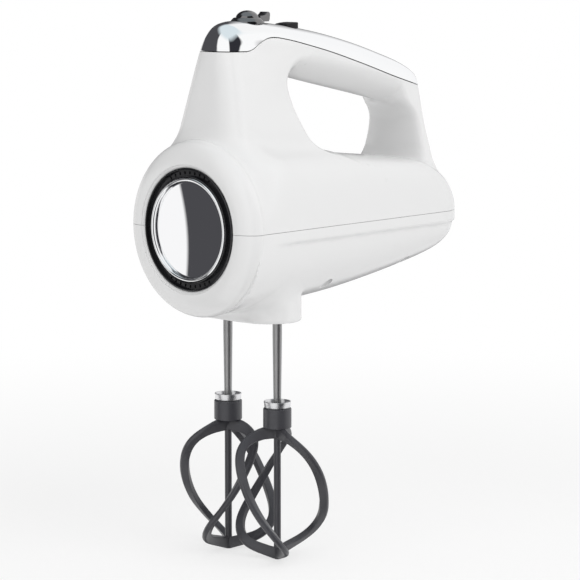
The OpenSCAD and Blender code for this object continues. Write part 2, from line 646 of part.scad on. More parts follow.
module bearing() difference() {
    cylinder(r = bearing_r, h = bearing_len);
    translate([0, 0, -1]) cylinder(r = shaft_r + running_gap, h = bearing_len + 2);
}
module front_bearing() color("peru") place() {
    along_y(frame_y[0]) bearing();
    along_y(frame_y[1] - bearing_len) bearing();
}
module rear_bearing() color("peru") place() along_y(bracket_y) bearing();
module rear_bracket() color("silver") place() difference() {
    union() {
        block([-bracket_half, bracket_y, bracket_z], [bracket_half, bracket_y + bracket_t, bracket_z + 10]);
        block([-9, bracket_y, bracket_z + 9], [9, bracket_y + bracket_t, 6]);
        along_y(bracket_y) cylinder(r = 9, h = bracket_t);
    }
    along_y(bracket_y - 1) cylinder(r = bearing_r + fit_gap, h = 30);
}
module cooling_fan() color("whitesmoke") place() along_y(fan_y) difference() {
    union() {
        cylinder(r = 6, h = 8);
        cylinder(r = fan_r, h = 1.4);
        for (a = [0:36:324]) rotate([0, 0, a]) translate([5, -0.6, 1]) cube([fan_r - 5.5, 1.2, 7]);
    }
    translate([0, 0, -1]) cylinder(r = shaft_r + fit_gap, h = 20);
}
module armature_core() color("dimgray") place() along_y(stator_y) difference() {
    cylinder(r = armature_r, h = stack_len);
    translate([0, 0, -1]) cylinder(r = shaft_r + fit_gap, h = stack_len + 2);
    for (a = [0:30:330]) rotate([0, 0, a])
        translate([armature_r - 4, -0.8, -1]) cube([6, 1.6, stack_len + 2]);
}
module armature_winding() color("#b5651d") place() for (y = [stator_y - 4.5, stator_y + stack_len]) along_y(y)
    tube(armature_r - 2.5, shaft_r + fit_gap, 4.5);
commutator_y = stator_y + stack_len + 5;
module commutator() color("#c98b52") place() along_y(commutator_y) difference() {
    cylinder(r = 9, h = 11);
    translate([0, 0, -1]) cylinder(r = shaft_r + fit_gap, h = 20);
    for (a = [0:30:330]) rotate([0, 0, a]) translate([8, -0.25, -1]) cube([2, 0.5, 20]);
}
module stator_core() color("dimgray") place() difference() {
    block([-stator_half.x, stator_y, -stator_half.y], [stator_half.x, stator_y + stack_len, stator_half.y]);
    along_y(stator_y - 1) cylinder(r = armature_r + 0.5, h = stack_len + 2);
    block([-window_half.x, stator_y - 1, -window_half.y],
        [window_half.x, stator_y + stack_len + 1, window_half.y]);
    for (x = [-1, 1], z = [-1, 1]) translate([x * stator_half.x, stator_y - 1, z * stator_half.y])
        rotate([0, 45, 0]) cube([7, 2 * stack_len + 9, 7], center = true);
}
window_half = [16, 21.5];
// Two flat coils, one over and one under the armature, that stand out of both ends of the stack
module field_coils() color("#b5651d") place() {
    out = 5;
    half = window_half - [0.2, 0.2];
    coil_t = 7.3;
    for (s = [0, 180]) rotate([0, s, 0]) difference() {
        block([-half.x, stator_y - out, half.y - coil_t], [half.x, stator_y + stack_len + out, half.y]);
        along_y(stator_y - 2 * out) cylinder(r = armature_r + 0.6, h = stack_len + 4 * out);
    }
}
module brush_holders() color("peru") place() for (s = [-1, 1]) difference() {
    block([s > 0 ? 10 : -30, commutator_y + 1, -4.5], [s > 0 ? 30 : -10, commutator_y + 10, 4.5]);
    block([-40, commutator_y + 3, -2.5], [40, commutator_y + 8, 2.5]);
}
module carbon_brushes() color("#333333") place() for (s = [-1, 1])
    block([s > 0 ? 9.1 : -22, commutator_y + 3.05, -2.45], [s > 0 ? 22 : -9.1, commutator_y + 7.95, 2.45]);

// ---- cord inlet, heel and screws ----------------------------------------------------------------

inlet_z = 12;
gland_r = cord_r + 2;
gland_end = body_len - 2.6;
gland_y = gland_end - gland_len + 1;
module inlet_hole() translate([0, 0, inlet_z]) along_y(gland_y - 12) cylinder(r = gland_r + fit_gap, h = 50);
module cord_gland() color("#222222") place() translate([0, 0, inlet_z]) along_y(gland_y) difference() {
    union() {
        cylinder(r = gland_r, h = gland_len - 1);
        cylinder(r = gland_r + 1.6, h = 2);
    }
    translate([0, 0, -1]) cylinder(r = cord_r, h = gland_len + 2);
}
heel_half = [9, 3.5];
heel_z = -6;
heel_front = body_len - 4;
module heel_recess() block([-heel_half.x - fit_gap, heel_front, heel_z - heel_half.y - fit_gap],
    [heel_half.x + fit_gap, body_len + 5, heel_z + heel_half.y + fit_gap]);
module heel_pad() color("#333333") place()
    block([-heel_half.x, heel_front, heel_z - heel_half.y], [heel_half.x, body_len, heel_z + heel_half.y]);
screw_shank_r = 1.25;
screw_head_r = 3;
screw_len = 34;
module housing_screws() color("gray") place() {
    posts(screw_shank_r, screw_seat_z, screw_seat_z + screw_len);
    posts(screw_head_r, screw_seat_z - 2.2, screw_seat_z);
}

// ---- beaters ------------------------------------------------------------------------------------

collar_bottom = -collar_drop - collar_h;
stem_taper_z = boss_bottom - 8;  // the stem keeps its full radius over this height
module stem(side) at_spindle(side) {
    rotate_extrude() polygon([[0, collar_bottom + 2], [stem_foot_r, collar_bottom + 2],
        [stem_foot_r, -collar_drop], [stem_r, stem_taper_z], [stem_r, stem_top], [0, stem_top]]);
    block([-4.6, -wing_t / 2, wing_z], [4.6, wing_t / 2, wing_z + wing_h]);
}
module stem_right() color("gray") place() stem(1);
module stem_left() color("gray") place() stem(-1);

// A bright cup on top of the collar, with two slots beside the stem
module cup(side) at_spindle(side) translate([0, 0, -collar_drop]) difference() {
    cylinder(r = collar_r - 0.3, h = 3.6);
    translate([0, 0, 1]) cylinder(r = collar_r - 1.1, h = 5);
    translate([0, 0, -1]) cylinder(r = stem_foot_r + 0.15, h = 5);
    for (x = [-1, 1]) block([x * 4.6 - 1.1, -1.5, -1], [x * 4.6 + 1.1, 1.5, 3]);
}
module cup_right() color("silver") place() cup(1);
module cup_left() color("silver") place() cup(-1);

// An arm's centre line: shares of the height, of the greatest radius and of the turn, and the share
// of the ribbon's width, which grows towards the hubs
arm_profile = [
    [0, 0.02, 0, 1.4], [0.003, 0.16, 0.01, 1.4], [0.015, 0.325, 0.02, 1.3], [0.046, 0.53, 0.055, 1.12],
    [0.095, 0.715, 0.11, 1], [0.265, 0.925, 0.275, 1], [0.435, 0.98, 0.41, 1], [0.605, 1, 0.555, 1],
    [0.775, 0.975, 0.72, 1], [0.865, 0.85, 0.81, 1], [0.93, 0.62, 0.89, 1.05],
    [0.968, 0.325, 0.945, 1.15], [1, 0.04, 1, 1.25]
];
arm_steps = 24;
arm_drop = 2.4;        // the arms start this far under the collar
core_r = 1.85;
// One arm: a ribbon with a bevelled rim that turns as it falls
module arm(start, turn) {
    reach = whisk_r - arm_w / 2;
    fall = whisk_h - arm_drop - arm_w * 0.625;
    line = [for (i = [0:arm_steps]) let(p = along(arm_profile, i / arm_steps * (len(arm_profile) - 1)))
        [p[1] * reach, start + turn * p[2], collar_bottom - arm_drop - fall * p[0], arm_w * p[3]]];
    pts = [for (p = line) [p[0] * cos(p[1]), p[0] * sin(p[1]), p[2]]];
    skin([for (i = [0:arm_steps])
        let(a = pts[max(0, i - 1)], b = pts[min(arm_steps, i + 1)], d = (b - a) / norm(b - a),
            out = [cos(line[i][1]), sin(line[i][1]), 0], o = out - d * (out * d),
            n1 = o / norm(o), n2 = cross(d, n1))
        [for (q = [[-0.5, -0.5], [0.3, -0.5], [0.5, -0.2], [0.5, 0.2], [0.3, 0.5], [-0.5, 0.5]])
            pts[i] + n1 * line[i][3] * q[0] + n2 * arm_t * q[1]]]);
}
module whisk(side) at_spindle(side) {
    difference() {
        translate([0, 0, collar_bottom]) cylinder(r = collar_r, h = collar_h);
        translate([0, 0, collar_bottom + 2]) cylinder(r = stem_foot_r + fit_gap, h = collar_h);
    }
    translate([0, 0, -axis_h]) cylinder(r1 = 1, r2 = core_r, h = 3);
    translate([0, 0, 3 - axis_h]) cylinder(r = core_r, h = whisk_h - 2);
    for (k = [0:2]) arm(whisk_start(side) + 120 * k, side * whisk_turn);
}
// Mirrored whisks whose arms stand half a pitch apart, so that they pass between each other
function whisk_start(side) = side > 0 ? -16.6 : 196.6 + 60;
module whisk_right() color("#4a4b50") place() whisk(1);
module whisk_left() color("#4a4b50") place() whisk(-1);

upper_housing();
lower_housing();
top_cover();
nose_ring();
nose_trim_ring();
nose_disc();
eject_button();
eject_rod();
eject_bridge();
eject_spring();
speed_lever();
speed_switch();
turbo_button();
turbo_switch();
circuit_board();
gearbox_frame();
gearbox_bridge();
gearbox_screws();
motor_shaft();
front_bearing();
rear_bearing();
rear_bracket();
cooling_fan();
armature_core();
armature_winding();
commutator();
stator_core();
field_coils();
brush_holders();
carbon_brushes();
worm_wheel_right();
worm_wheel_left();
spindle_right();
spindle_left();
lower_bushes();
upper_bushes();
detent_clip_right();
detent_clip_left();
cord_gland();
heel_pad();
housing_screws();
stem_right();
stem_left();
cup_right();
cup_left();
whisk_right();
whisk_left();
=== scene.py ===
"""Hand mixer: the looks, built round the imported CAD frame.

The housing is one smooth form, written as a field that is negative inside. It is meshed finely, hollowed,
and parted into its lower shell, upper shell and bright cover along the CAD model's parting lines.
Lengths in the form are in millimetres in the motor's frame, as in the CAD source: Y runs back along the
motor axis from the nose, Z is up, and the motor axis is the origin. Blender's objects are in metres.
"""
import math

import bmesh
import bpy
import numpy as np
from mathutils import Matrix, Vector


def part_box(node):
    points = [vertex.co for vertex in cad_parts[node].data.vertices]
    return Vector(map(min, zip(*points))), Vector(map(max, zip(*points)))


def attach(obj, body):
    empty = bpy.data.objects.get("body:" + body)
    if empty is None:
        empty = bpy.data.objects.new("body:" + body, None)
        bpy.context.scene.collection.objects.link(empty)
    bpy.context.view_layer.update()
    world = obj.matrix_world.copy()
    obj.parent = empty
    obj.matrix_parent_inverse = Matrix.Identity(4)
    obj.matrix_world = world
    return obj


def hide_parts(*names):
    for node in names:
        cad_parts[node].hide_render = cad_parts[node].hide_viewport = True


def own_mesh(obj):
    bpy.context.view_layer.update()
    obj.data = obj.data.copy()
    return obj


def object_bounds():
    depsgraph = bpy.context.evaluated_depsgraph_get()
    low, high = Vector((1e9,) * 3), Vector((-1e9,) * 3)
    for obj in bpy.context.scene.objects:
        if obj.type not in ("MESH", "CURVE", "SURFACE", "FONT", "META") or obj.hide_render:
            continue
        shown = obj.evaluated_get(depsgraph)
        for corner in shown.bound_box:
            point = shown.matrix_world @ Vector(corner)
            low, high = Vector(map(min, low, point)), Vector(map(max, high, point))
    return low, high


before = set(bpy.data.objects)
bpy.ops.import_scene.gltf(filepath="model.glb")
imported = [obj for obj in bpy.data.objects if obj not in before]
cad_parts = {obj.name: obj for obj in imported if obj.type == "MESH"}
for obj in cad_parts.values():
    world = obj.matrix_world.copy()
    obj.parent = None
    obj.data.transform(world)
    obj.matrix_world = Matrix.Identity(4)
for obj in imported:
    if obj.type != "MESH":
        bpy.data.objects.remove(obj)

MM = 0.001
cad_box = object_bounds()

# ---- places taken from the frame ----------------------------------------------------------------

ring_low, ring_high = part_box("nose_ring")
upper_low, upper_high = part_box("upper_housing")
lower_low, lower_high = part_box("lower_housing")
spring_low, spring_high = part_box("eject_spring")
NOSE = Vector((0, upper_low.y, (ring_low.z + ring_high.z) / 2))    # centre of the nose, on the motor axis
BODY_LEN = (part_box("heel_pad")[1].y - NOSE.y) / MM
DRUM_R = (upper_high.x - upper_low.x) / 2 / MM
RING_R = (ring_high.z - ring_low.z) / 2 / MM
SEAM = (upper_low.z - lower_high.z) / MM
BOSS_BOTTOM = (lower_low.z - NOSE.z) / MM
SCREW_END = (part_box("housing_screws")[1].z - NOSE.z) / MM


def row(p):
    """A point of the motor's frame in mm, as a place in the frame in metres."""
    return Vector(p) * MM + NOSE


# ---- camera, where the photograph was taken from ------------------------------------------------

SENSOR = 36
FOCAL_SHARE = 2600 / 580    # focal length over the picture's width
CAMERA_PLACE = (937.4, -918.2, 146.6)
CAMERA_AZIMUTH, CAMERA_DROP = 43.3, 7.7

camera_data = bpy.data.cameras.new("camera")
camera_data.sensor_width = SENSOR
camera_data.lens = SENSOR * FOCAL_SHARE
camera_data.clip_end = 100
camera = bpy.data.objects.new("camera", camera_data)
camera.location = row(CAMERA_PLACE)
camera.rotation_euler = (math.radians(90 - CAMERA_DROP), 0, math.radians(CAMERA_AZIMUTH))
bpy.context.scene.collection.objects.link(camera)
bpy.context.scene.camera = camera
bpy.context.scene.view_settings.view_transform = "Standard"

# ---- materials ----------------------------------------------------------------------------------

GRAIN_DEPTH = 0.0002
DRIFT_SCALE = 28
LEAST_ROUGH = 0.02


def fill(node, inputs):
    """Gives a node's sockets numbers, colours or other nodes' outputs."""
    for socket, value in inputs.items():
        if isinstance(value, bpy.types.NodeSocket):
            node.id_data.links.new(value, node.inputs[socket])
        else:
            node.inputs[socket].default_value = value
    return node


def add_node(tree, kind, inputs, **settings):
    node = tree.nodes.new("ShaderNode" + kind)
    for setting, value in settings.items():
        setattr(node, setting, value)
    return fill(node, inputs)


def calculate(tree, operation, *values):
    """The result of a math node."""
    return add_node(tree, "Math", dict(enumerate(values)), operation=operation).outputs[0]


def spread(tree, value, low, high):
    """A 0 to 1 share of where a value lies between two others."""
    return add_node(tree, "MapRange", {"Value": value, "From Min": low, "From Max": high}).outputs["Result"]


def color_mix(tree, share, a, b):
    """Colour a where the share is 0, and b where it is 1."""
    return add_node(tree, "MixRGB", {"Fac": share, "Color1": a, "Color2": b}).outputs["Color"]


def new_material(name):
    mat = bpy.data.materials.new(name)
    mat.use_nodes = True
    return mat, mat.node_tree, mat.node_tree.nodes["Principled BSDF"]


def surface(name, color, rough, metal=0.0, grain=900, bump=0.02, vary=0.04, rough_vary=0.06,
            stretch=(1, 1, 1), specular=0.5):
    """A surface with fine grain: its colour and roughness drift a little and its bump follows the grain."""
    mat, tree, shader = new_material(name)
    place = add_node(tree, "TexCoord", {}).outputs["Object"]
    stretched = add_node(tree, "Mapping", {"Vector": place, "Scale": stretch}).outputs["Vector"]
    fine = add_node(tree, "TexNoise", {"Vector": stretched, "Scale": grain, "Detail": 4}).outputs["Fac"]
    broad = add_node(tree, "TexNoise", {"Vector": place, "Scale": DRIFT_SCALE, "Detail": 2}).outputs["Fac"]
    dark, light = ([min(1, c * (1 + s * vary)) for c in color] + [1] for s in (-1, 1))
    roughness = add_node(tree, "MapRange", {"Value": fine, "To Min": max(LEAST_ROUGH, rough - rough_vary / 2),
                                            "To Max": rough + rough_vary / 2})
    relief = add_node(tree, "Bump", {"Height": fine, "Strength": bump, "Distance": GRAIN_DEPTH})
    fill(shader, {"Base Color": color_mix(tree, broad, dark, light), "Metallic": metal,
                  "Roughness": roughness.outputs["Result"], "Specular IOR Level": specular,
                  "Normal": relief.outputs["Normal"]})
    return mat


WHITE = surface("white_gloss", (0.81, 0.81, 0.81), 0.2, grain=700, bump=0.01, vary=0.006, rough_vary=0.05)
CHROME = surface("bright_plating", (0.95, 0.955, 0.96), 0.035, metal=1, grain=500, bump=0.0006, vary=0.01,
                 rough_vary=0.02)
MIRROR = surface("mirror", (0.93, 0.93, 0.94), 0.022, metal=1, grain=300, bump=0.0003, vary=0.005,
                 rough_vary=0.008)
DARK_CHROME = surface("dark_plating", (0.2, 0.197, 0.2), 0.13, metal=1, grain=500, bump=0.004, vary=0.05,
                      rough_vary=0.05)
BLACK = surface("black_gloss", (0.012, 0.012, 0.014), 0.12, grain=700, bump=0.01, vary=0.2)
BLACK_SATIN = surface("black_satin", (0.012, 0.012, 0.013), 0.3, grain=1200, bump=0.03, vary=0.2,
                      specular=0.2)
NYLON = surface("charcoal_nylon", (0.05, 0.05, 0.057), 0.36, grain=1200, bump=0.05, vary=0.12,
                rough_vary=0.12)
STEEL = surface("stem_steel", (0.39, 0.39, 0.39), 0.46, metal=1, grain=900, bump=0.05, vary=0.06,
                rough_vary=0.14, stretch=(1, 1, 0.08))
SATIN_STEEL = surface("satin_steel", (0.58, 0.58, 0.6), 0.28, metal=1, bump=0.05, vary=0.05, rough_vary=0.1)
CUP_METAL = surface("cup_plating", (0.8, 0.8, 0.81), 0.34, metal=1, grain=700, vary=0.03)
DIECAST = surface("diecast", (0.5, 0.51, 0.52), 0.5, metal=1, grain=1500, bump=0.15, vary=0.08,
                  rough_vary=0.2)
BRONZE = surface("sintered_bronze", (0.48, 0.31, 0.14), 0.45, metal=1, grain=2500, bump=0.2, vary=0.12,
                 rough_vary=0.2)
LAMINATION = surface("laminations", (0.14, 0.14, 0.15), 0.5, metal=1, bump=0.4, vary=0.1, rough_vary=0.2,
                     stretch=(0.05, 3, 0.05))
COPPER = surface("enamelled_copper", (0.5, 0.19, 0.07), 0.3, metal=1, grain=1400, bump=0.4, vary=0.15,
                 rough_vary=0.1, stretch=(0.1, 0.1, 2))
GEAR_NYLON = surface("gear_nylon", (0.7, 0.67, 0.56), 0.45, bump=0.05, rough_vary=0.1)
BOARD = surface("board_laminate", (0.02, 0.16, 0.06), 0.45, grain=600, bump=0.1, vary=0.15, rough_vary=0.15)
SWITCH = surface("switch_plastic", (0.03, 0.03, 0.032), 0.5, grain=1200, bump=0.08, vary=0.15,
                 rough_vary=0.15)
CARBON = surface("brush_carbon", (0.02, 0.02, 0.021), 0.6, grain=2500, bump=0.2, vary=0.2, rough_vary=0.2)
RUBBER = surface("soft_rubber", (0.022, 0.022, 0.023), 0.62, grain=1800, bump=0.12, vary=0.15,
                 rough_vary=0.15)

# ---- the housing's form -------------------------------------------------------------------------
# The CAD source's curves, sampled more finely and blended where the CAD has plain joins. The rear pillar
# and the upper rear of the body follow the photo a little closer.

WALL = 2.4
DRUM_LEN, DRUM_BULGE = 9.0, 12.2
WINDOW_R, WINDOW_DEPTH = RING_R + 0.05, 6.0
NOSE_SOLID = 12.0                     # the nose isn't hollow before this y
BODY_ENDS = 8.0, 187.4
BODY_STEP, BODY_TAPER = 1.0, 0.047    # how far the body is inside the drum, and its taper for each mm
TAIL_LEN = 28.0                       # length over which the body's sides close at the rear
BAND_H, BAND_STEP = 5.2, 1.8          # height and step of the band under the parting line
BELLY_FULL = 2.1                      # power of the lower body's cross-section
PILLAR_HALF, PILLAR_TOP, PILLAR_FLARE = 13.1, 89.0, 0.245    # half width at the top, and more further down
GRIP_HALF = 18.5
REAR_HALF, REAR_TOP, REAR_FLARE = 16.3, 70.0, 0.0042
LEAST_HALF = 6.0
HANDLE_INSET = 5.0                    # how far the handle stays inside the body's sides
SPINDLE_X, SPINDLE_Y = 18.0, 47.8
BOSS_HALF, BOSS_R, BOSS_TOP, BOSS_LIP = 29.0, 16.5, -20.0, 1.2

# y, top and underside of the body in the middle plane
SPINE = np.array([
    [9.4, 44.6, -44.8], [14, 43.9, -44.5], [24, 41.2, -44.0], [36, 38.4, -43.3], [60, 37.2, -41.9],
    [87, 35.6, -39.8], [110, 33.0, -36.9], [133, 30.6, -33.1], [150, 28.8, -29.7], [160, 26.6, -27.2],
    [168, 23.8, -24.6], [174, 19.6, -21.6], [180.5, 13.6, -17.0], [185.2, 8.2, -11.0], [187.5, 4.0, -6.0]])
# the handle round the finger opening: y, z of the opening, y, z of the outer edge,
# depth and fullness of the rounding at the opening, and the same at the outer edge
ROWS = np.array([
    [94.0, 30.0, 12.0, 30.0, 6, 2.2, 9, 2.5], [85.0, 36.0, 9.8, 36.6, 6, 2.2, 9, 2.5],
    [79.0, 38.3, 10.0, 38.6, 6, 2.2, 9, 2.5], [74.4, 41.4, 10.5, 42.0, 6, 2.2, 9, 2.5],
    [70.5, 46.5, 11.2, 47.0, 6, 2.2, 9, 2.5], [67.0, 53.0, 12.3, 54.0, 6, 2.2, 9, 2.5],
    [64.3, 60.0, 13.5, 62.0, 6, 2.2, 9, 2.5], [62.0, 67.5, 15.0, 73.0, 6, 2.2, 9, 2.5],
    [61.3, 72.5, 16.4, 83.0, 7, 2.2, 9, 2.4], [63.0, 76.0, 18.2, 92.5, 8, 2.2, 9, 2.3],
    [66.5, 77.0, 20.9, 99.3, 10, 2.2, 11, 2.3], [70.0, 75.8, 26.5, 103.8, 12, 2.1, 12, 2.3],
    [77.0, 74.0, 40.0, 104.8, 13, 2.0, 12, 2.3], [89.0, 71.4, 63.0, 102.5, 13, 2.0, 11, 2.3],
    [104., 68.3, 90.0, 98.2, 13, 2.0, 11, 2.3], [120., 65.0, 115.0, 92.5, 13, 2.0, 11, 2.3],
    [134., 62.0, 137.0, 86.3, 13, 2.0, 10, 2.3], [143.5, 60.0, 153.0, 81.2, 12, 2.0, 9, 2.2],
    [150.0, 58.0, 163.0, 75.5, 8, 2.2, 8, 2.1], [154.5, 54.5, 166.6, 67.0, 4, 2.4, 8, 2.1],
    [157.4, 49.5, 168.4, 56.0, 4, 2.6, 9, 2.0], [158.2, 43.5, 169.6, 45.0, 4, 2.6, 9, 2.0],
    [158.2, 37.5, 170.4, 36.0, 4, 2.6, 10, 2.0], [157.6, 31.0, 170.4, 28.0, 4, 2.6, 12, 2.0],
    [154.0, 25.0, 168.0, 21.0, 6, 2.4, 12, 2.0], [146.0, 20.0, 163.0, 16.0, 6, 2.4, 12, 2.0]])
# the cover's lower edge along the side
COVER_EDGE = np.array([
    [-5, 89.7], [24, 89.7], [31, 89.8], [35, 91.2], [39, 93.8], [43.5, 95.9], [48, 96.4], [54, 95.6],
    [68, 92.7], [90, 87.5], [114, 80.8], [138, 74], [157, 68.8], [168, 65.4], [185, 60]])


def smooth_step(x, start, end):
    """0 up to the start, 1 from the end, and a smooth rise between."""
    t = np.clip((x - start) / (end - start), 0, 1)
    return t * t * (3 - 2 * t)


def mix(a, b, t):
    return a + (b - a) * t


def smooth_line(points, per_step):
    """The same smooth curve through an open list of points as the CAD draws."""
    p = np.vstack([points[:1], points, points[-1:]])
    out = []
    for i in range(len(points) - 1):
        a, b, c, d = p[i:i + 4]
        for t in np.arange(per_step) / per_step:
            out.append(b + t / 2 * (c - a + t * (2 * a - 5 * b + 4 * c - d + t * (3 * (b - c) + d - a))))
    return np.array(out + [points[-1]])


SPINE_LINE = smooth_line(SPINE, 8)
EDGE_LINE = smooth_line(COVER_EDGE, 6)
ROW_LINE = smooth_line(ROWS, 5)
ROW_LINE[:, 5] -= 0.45                                        # the opening's rounding starts softly
ROW_LINE[ROW_LINE[:, 0] > 149, 4:8] = [4.5, 4.2, 7.5, 2.2]    # the rear pillar: flatter walls, tighter edges
for k in (4, 5, 6, 7):
    ROW_LINE[:, k] = np.convolve(np.pad(ROW_LINE[:, k], 3, "edge"), np.ones(7) / 7, "valid")


def body_side(y):
    """Half the body's width at each y."""
    past = np.clip((y - (BODY_LEN - TAIL_LEN)) / TAIL_LEN, 0, 1)
    return (DRUM_R - BODY_STEP - BODY_TAPER * (y - DRUM_LEN)) * np.sqrt(np.maximum(0.0005, 1 - past * past))


def fullness(y):
    """The power of the upper body's cross-section: round at the nose, squarer in the middle."""
    return mix(mix(2, 5, smooth_step(y, DRUM_LEN, 35)), 2.25, smooth_step(y, 135, 180))


def nearest(line, y, z):
    """Distance from each (y, z) to a broken line, and where along it the nearest point is."""
    best = np.full(y.shape, 1e9)
    where = np.zeros(y.shape)
    for i in range(len(line) - 1):
        (ay, az), (by, bz) = line[i], line[i + 1]
        dy, dz = by - ay, bz - az
        t = np.clip(((y - ay) * dy + (z - az) * dz) / (dy * dy + dz * dz + 1e-9), 0, 1)
        d = (y - ay - t * dy) ** 2 + (z - az - t * dz) ** 2
        nearer = d < best
        best = np.where(nearer, d, best)
        where = np.where(nearer, i + t, where)
    return np.sqrt(best), where


def inside(line, y, z):
    """Whether each (y, z) lies inside a closed outline."""
    odd = np.zeros(y.shape, bool)
    for (ay, az), (by, bz) in zip(line, np.roll(line, -1, axis=0)):
        if az != bz:
            odd ^= ((az > z) != (bz > z)) & (y < (by - ay) * (z - az) / (bz - az) + ay)
    return odd


def flank(y, z):
    """Half the handle's width: the front pillar, grip and rear pillar flow into each other."""
    front = PILLAR_HALF + PILLAR_FLARE * (PILLAR_TOP - z)
    grip = mix(front, GRIP_HALF, smooth_step(y, 20, 62) * smooth_step(z, 48, 82))
    rear = REAR_HALF + REAR_FLARE * np.maximum(0, REAR_TOP - z) ** 2
    half = mix(grip, rear, smooth_step(y, 112, 152))
    return np.maximum(LEAST_HALF, np.minimum(half, body_side(np.clip(y, 8, 180)) - HANDLE_INSET))


class Section:
    """What the form needs at each (y, z), whatever the x."""

    def __init__(self, y, z):
        self.y, self.z = y, z
        yc = np.clip(y, *BODY_ENDS)
        self.side = body_side(yc)
        top = np.interp(yc, SPINE_LINE[:, 0], SPINE_LINE[:, 1])
        low = -np.interp(yc, SPINE_LINE[:, 0], SPINE_LINE[:, 2])
        self.full = fullness(yc)
        self.rise = (np.maximum(z, 0) / top) ** self.full
        depth = np.clip(low / 20, 0, 1)
        self.tuck = (BAND_STEP * smooth_step(yc, 14, 38) * np.clip(self.side / 20, 0, 1)
                     * smooth_step(-z, BAND_H * depth, BAND_H * depth + 2))
        foot = (BAND_H + 1) * depth
        self.fall = (np.clip(-z - foot, 0, None) / np.maximum(low - foot, 0.1)) ** BELLY_FULL
        self.scale = np.minimum(self.side, np.minimum(top, low))
        self.ends = np.maximum(BODY_ENDS[0] - y, y - BODY_ENDS[1])
        opening, outer = ROW_LINE[:, 0:2], ROW_LINE[:, 2:4]
        d_in, s_in = nearest(opening, y, z)
        d_out, s_out = nearest(outer, y, z)
        d_in = np.where(inside(opening, y, z), -d_in, d_in)
        d_out = np.where(inside(outer, y, z), d_out, -d_out)
        at = np.arange(len(ROW_LINE))
        self.r_in, self.n_in = (np.interp(s_in, at, ROW_LINE[:, k]) for k in (4, 5))
        self.r_out, self.n_out = (np.interp(s_out, at, ROW_LINE[:, k]) for k in (6, 7))
        self.half = flank(y, z)
        self.q_in = np.maximum(0, 1 - d_in / self.r_in) ** self.n_in
        self.q_out = np.maximum(0, 1 - d_out / self.r_out) ** self.n_out


def body_field(x, s):
    """The body under the handle: rounded above the parting line, and tucked in under its band."""
    up = ((x / s.side) ** s.full + s.rise) ** (1 / s.full) - 1
    down = ((x / (s.side - s.tuck)) ** BELLY_FULL + s.fall) ** (1 / BELLY_FULL) - 1
    return np.maximum(np.where(s.z > 0, up, down) * s.scale, s.ends)


def handle_field(x, s):
    """The handle: a slab with rounded edges round the finger opening."""
    wide = x / s.half
    a = (wide ** s.n_in + s.q_in) ** (1 / s.n_in) - 1
    b = (wide ** s.n_out + s.q_out) ** (1 / s.n_out) - 1
    return np.maximum(a * np.minimum(s.half, s.r_in * 2), b * np.minimum(s.half, s.r_out * 2))


def boss_field(x, s):
    """The boss over the beaters: an oval plug with a rounded lip."""
    dx = np.maximum(x - (BOSS_HALF - BOSS_R), 0)
    d = np.sqrt(dx * dx + (s.y - SPINDLE_Y) ** 2) - BOSS_R
    ends = np.maximum(BOSS_BOTTOM - s.z, s.z - BOSS_TOP)
    out = np.sqrt(np.maximum(d + BOSS_LIP, 0) ** 2 + np.maximum(ends + BOSS_LIP, 0) ** 2)
    return np.minimum(np.maximum(d, ends) + BOSS_LIP, 0) + out - BOSS_LIP


def blend(a, b, k):
    """Two fields as one, with a soft joint about k wide."""
    h = np.maximum(0, k - np.abs(a - b)) / k
    return np.minimum(a, b) - h * h * k / 4


def form(x, s):
    """The whole housing. Its joints are soft at the front and the very rear, and tight between."""
    x = np.abs(x) + 1e-6
    handle_joint = mix(mix(9, 2, smooth_step(s.y, 100, 140)), 7, smooth_step(s.y, 158, 167))
    boss_joint = mix(9, 2, smooth_step(s.y, 36, 58))
    return blend(blend(body_field(x, s), handle_field(x, s), handle_joint), boss_field(x, s), boss_joint)


def slope(points, step=0.02):
    """The form's value and gradient at points."""
    x, y, z = points.T
    here = Section(y, z)
    value = form(x, here)
    dx = form(x + step, here) - form(x - step, here)
    dy = form(x, Section(y + step, z)) - form(x, Section(y - step, z))
    dz = form(x, Section(y, z + step)) - form(x, Section(y, z - step))
    return value, np.stack([dx, dy, dz], axis=1) / (2 * step)


# ---- meshing ------------------------------------------------------------------------------------


def surface_net(inset, low, high, step):
    """Vertices and quads of the form's surface at an inset, one vertex to each cell it crosses."""
    axes = [np.arange(a, b + step, step) for a, b in zip(low, high)]
    at = Section(*np.meshgrid(axes[1], axes[2], indexing="ij"))
    value = np.stack([form(x, at) for x in axes[0]]) + inset
    if inset:
        value = np.maximum(value, NOSE_SOLID - at.y)
    sign = value < 0
    cells = np.array(value.shape) - 1
    total, count = np.zeros((*cells, 3)), np.zeros(cells)
    crossings = []
    for axis in range(3):
        a, b = [slice(None)] * 3, [slice(None)] * 3
        a[axis], b[axis] = slice(None, -1), slice(1, None)
        crossed = np.argwhere(sign[tuple(a)] != sign[tuple(b)])
        end = crossed.copy()
        end[:, axis] += 1
        va, vb = value[tuple(crossed.T)], value[tuple(end.T)]
        point = crossed.astype(float)
        point[:, axis] += va / (va - vb)
        others = [k for k in range(3) if k != axis]
        corners = []
        for du, dv in ((0, 0), (-1, 0), (-1, -1), (0, -1)):
            cell = crossed.copy()
            cell[:, others[0]] += du
            cell[:, others[1]] += dv
            np.add.at(total, tuple(cell.T), point)
            np.add.at(count, tuple(cell.T), 1)
            corners.append(cell)
        crossings.append((corners, (va < 0) ^ (axis == 1)))
    used = count > 0
    index = np.full(cells, -1)
    index[used] = np.arange(used.sum())
    points = total[used] / count[used][:, None] * step + np.array(low)
    quads = []
    for corners, flip in crossings:
        quad = np.stack([index[tuple(cell.T)] for cell in corners], axis=1)
        quads.append(np.where(flip[:, None], quad, quad[:, ::-1]))
    return points, np.concatenate(quads)


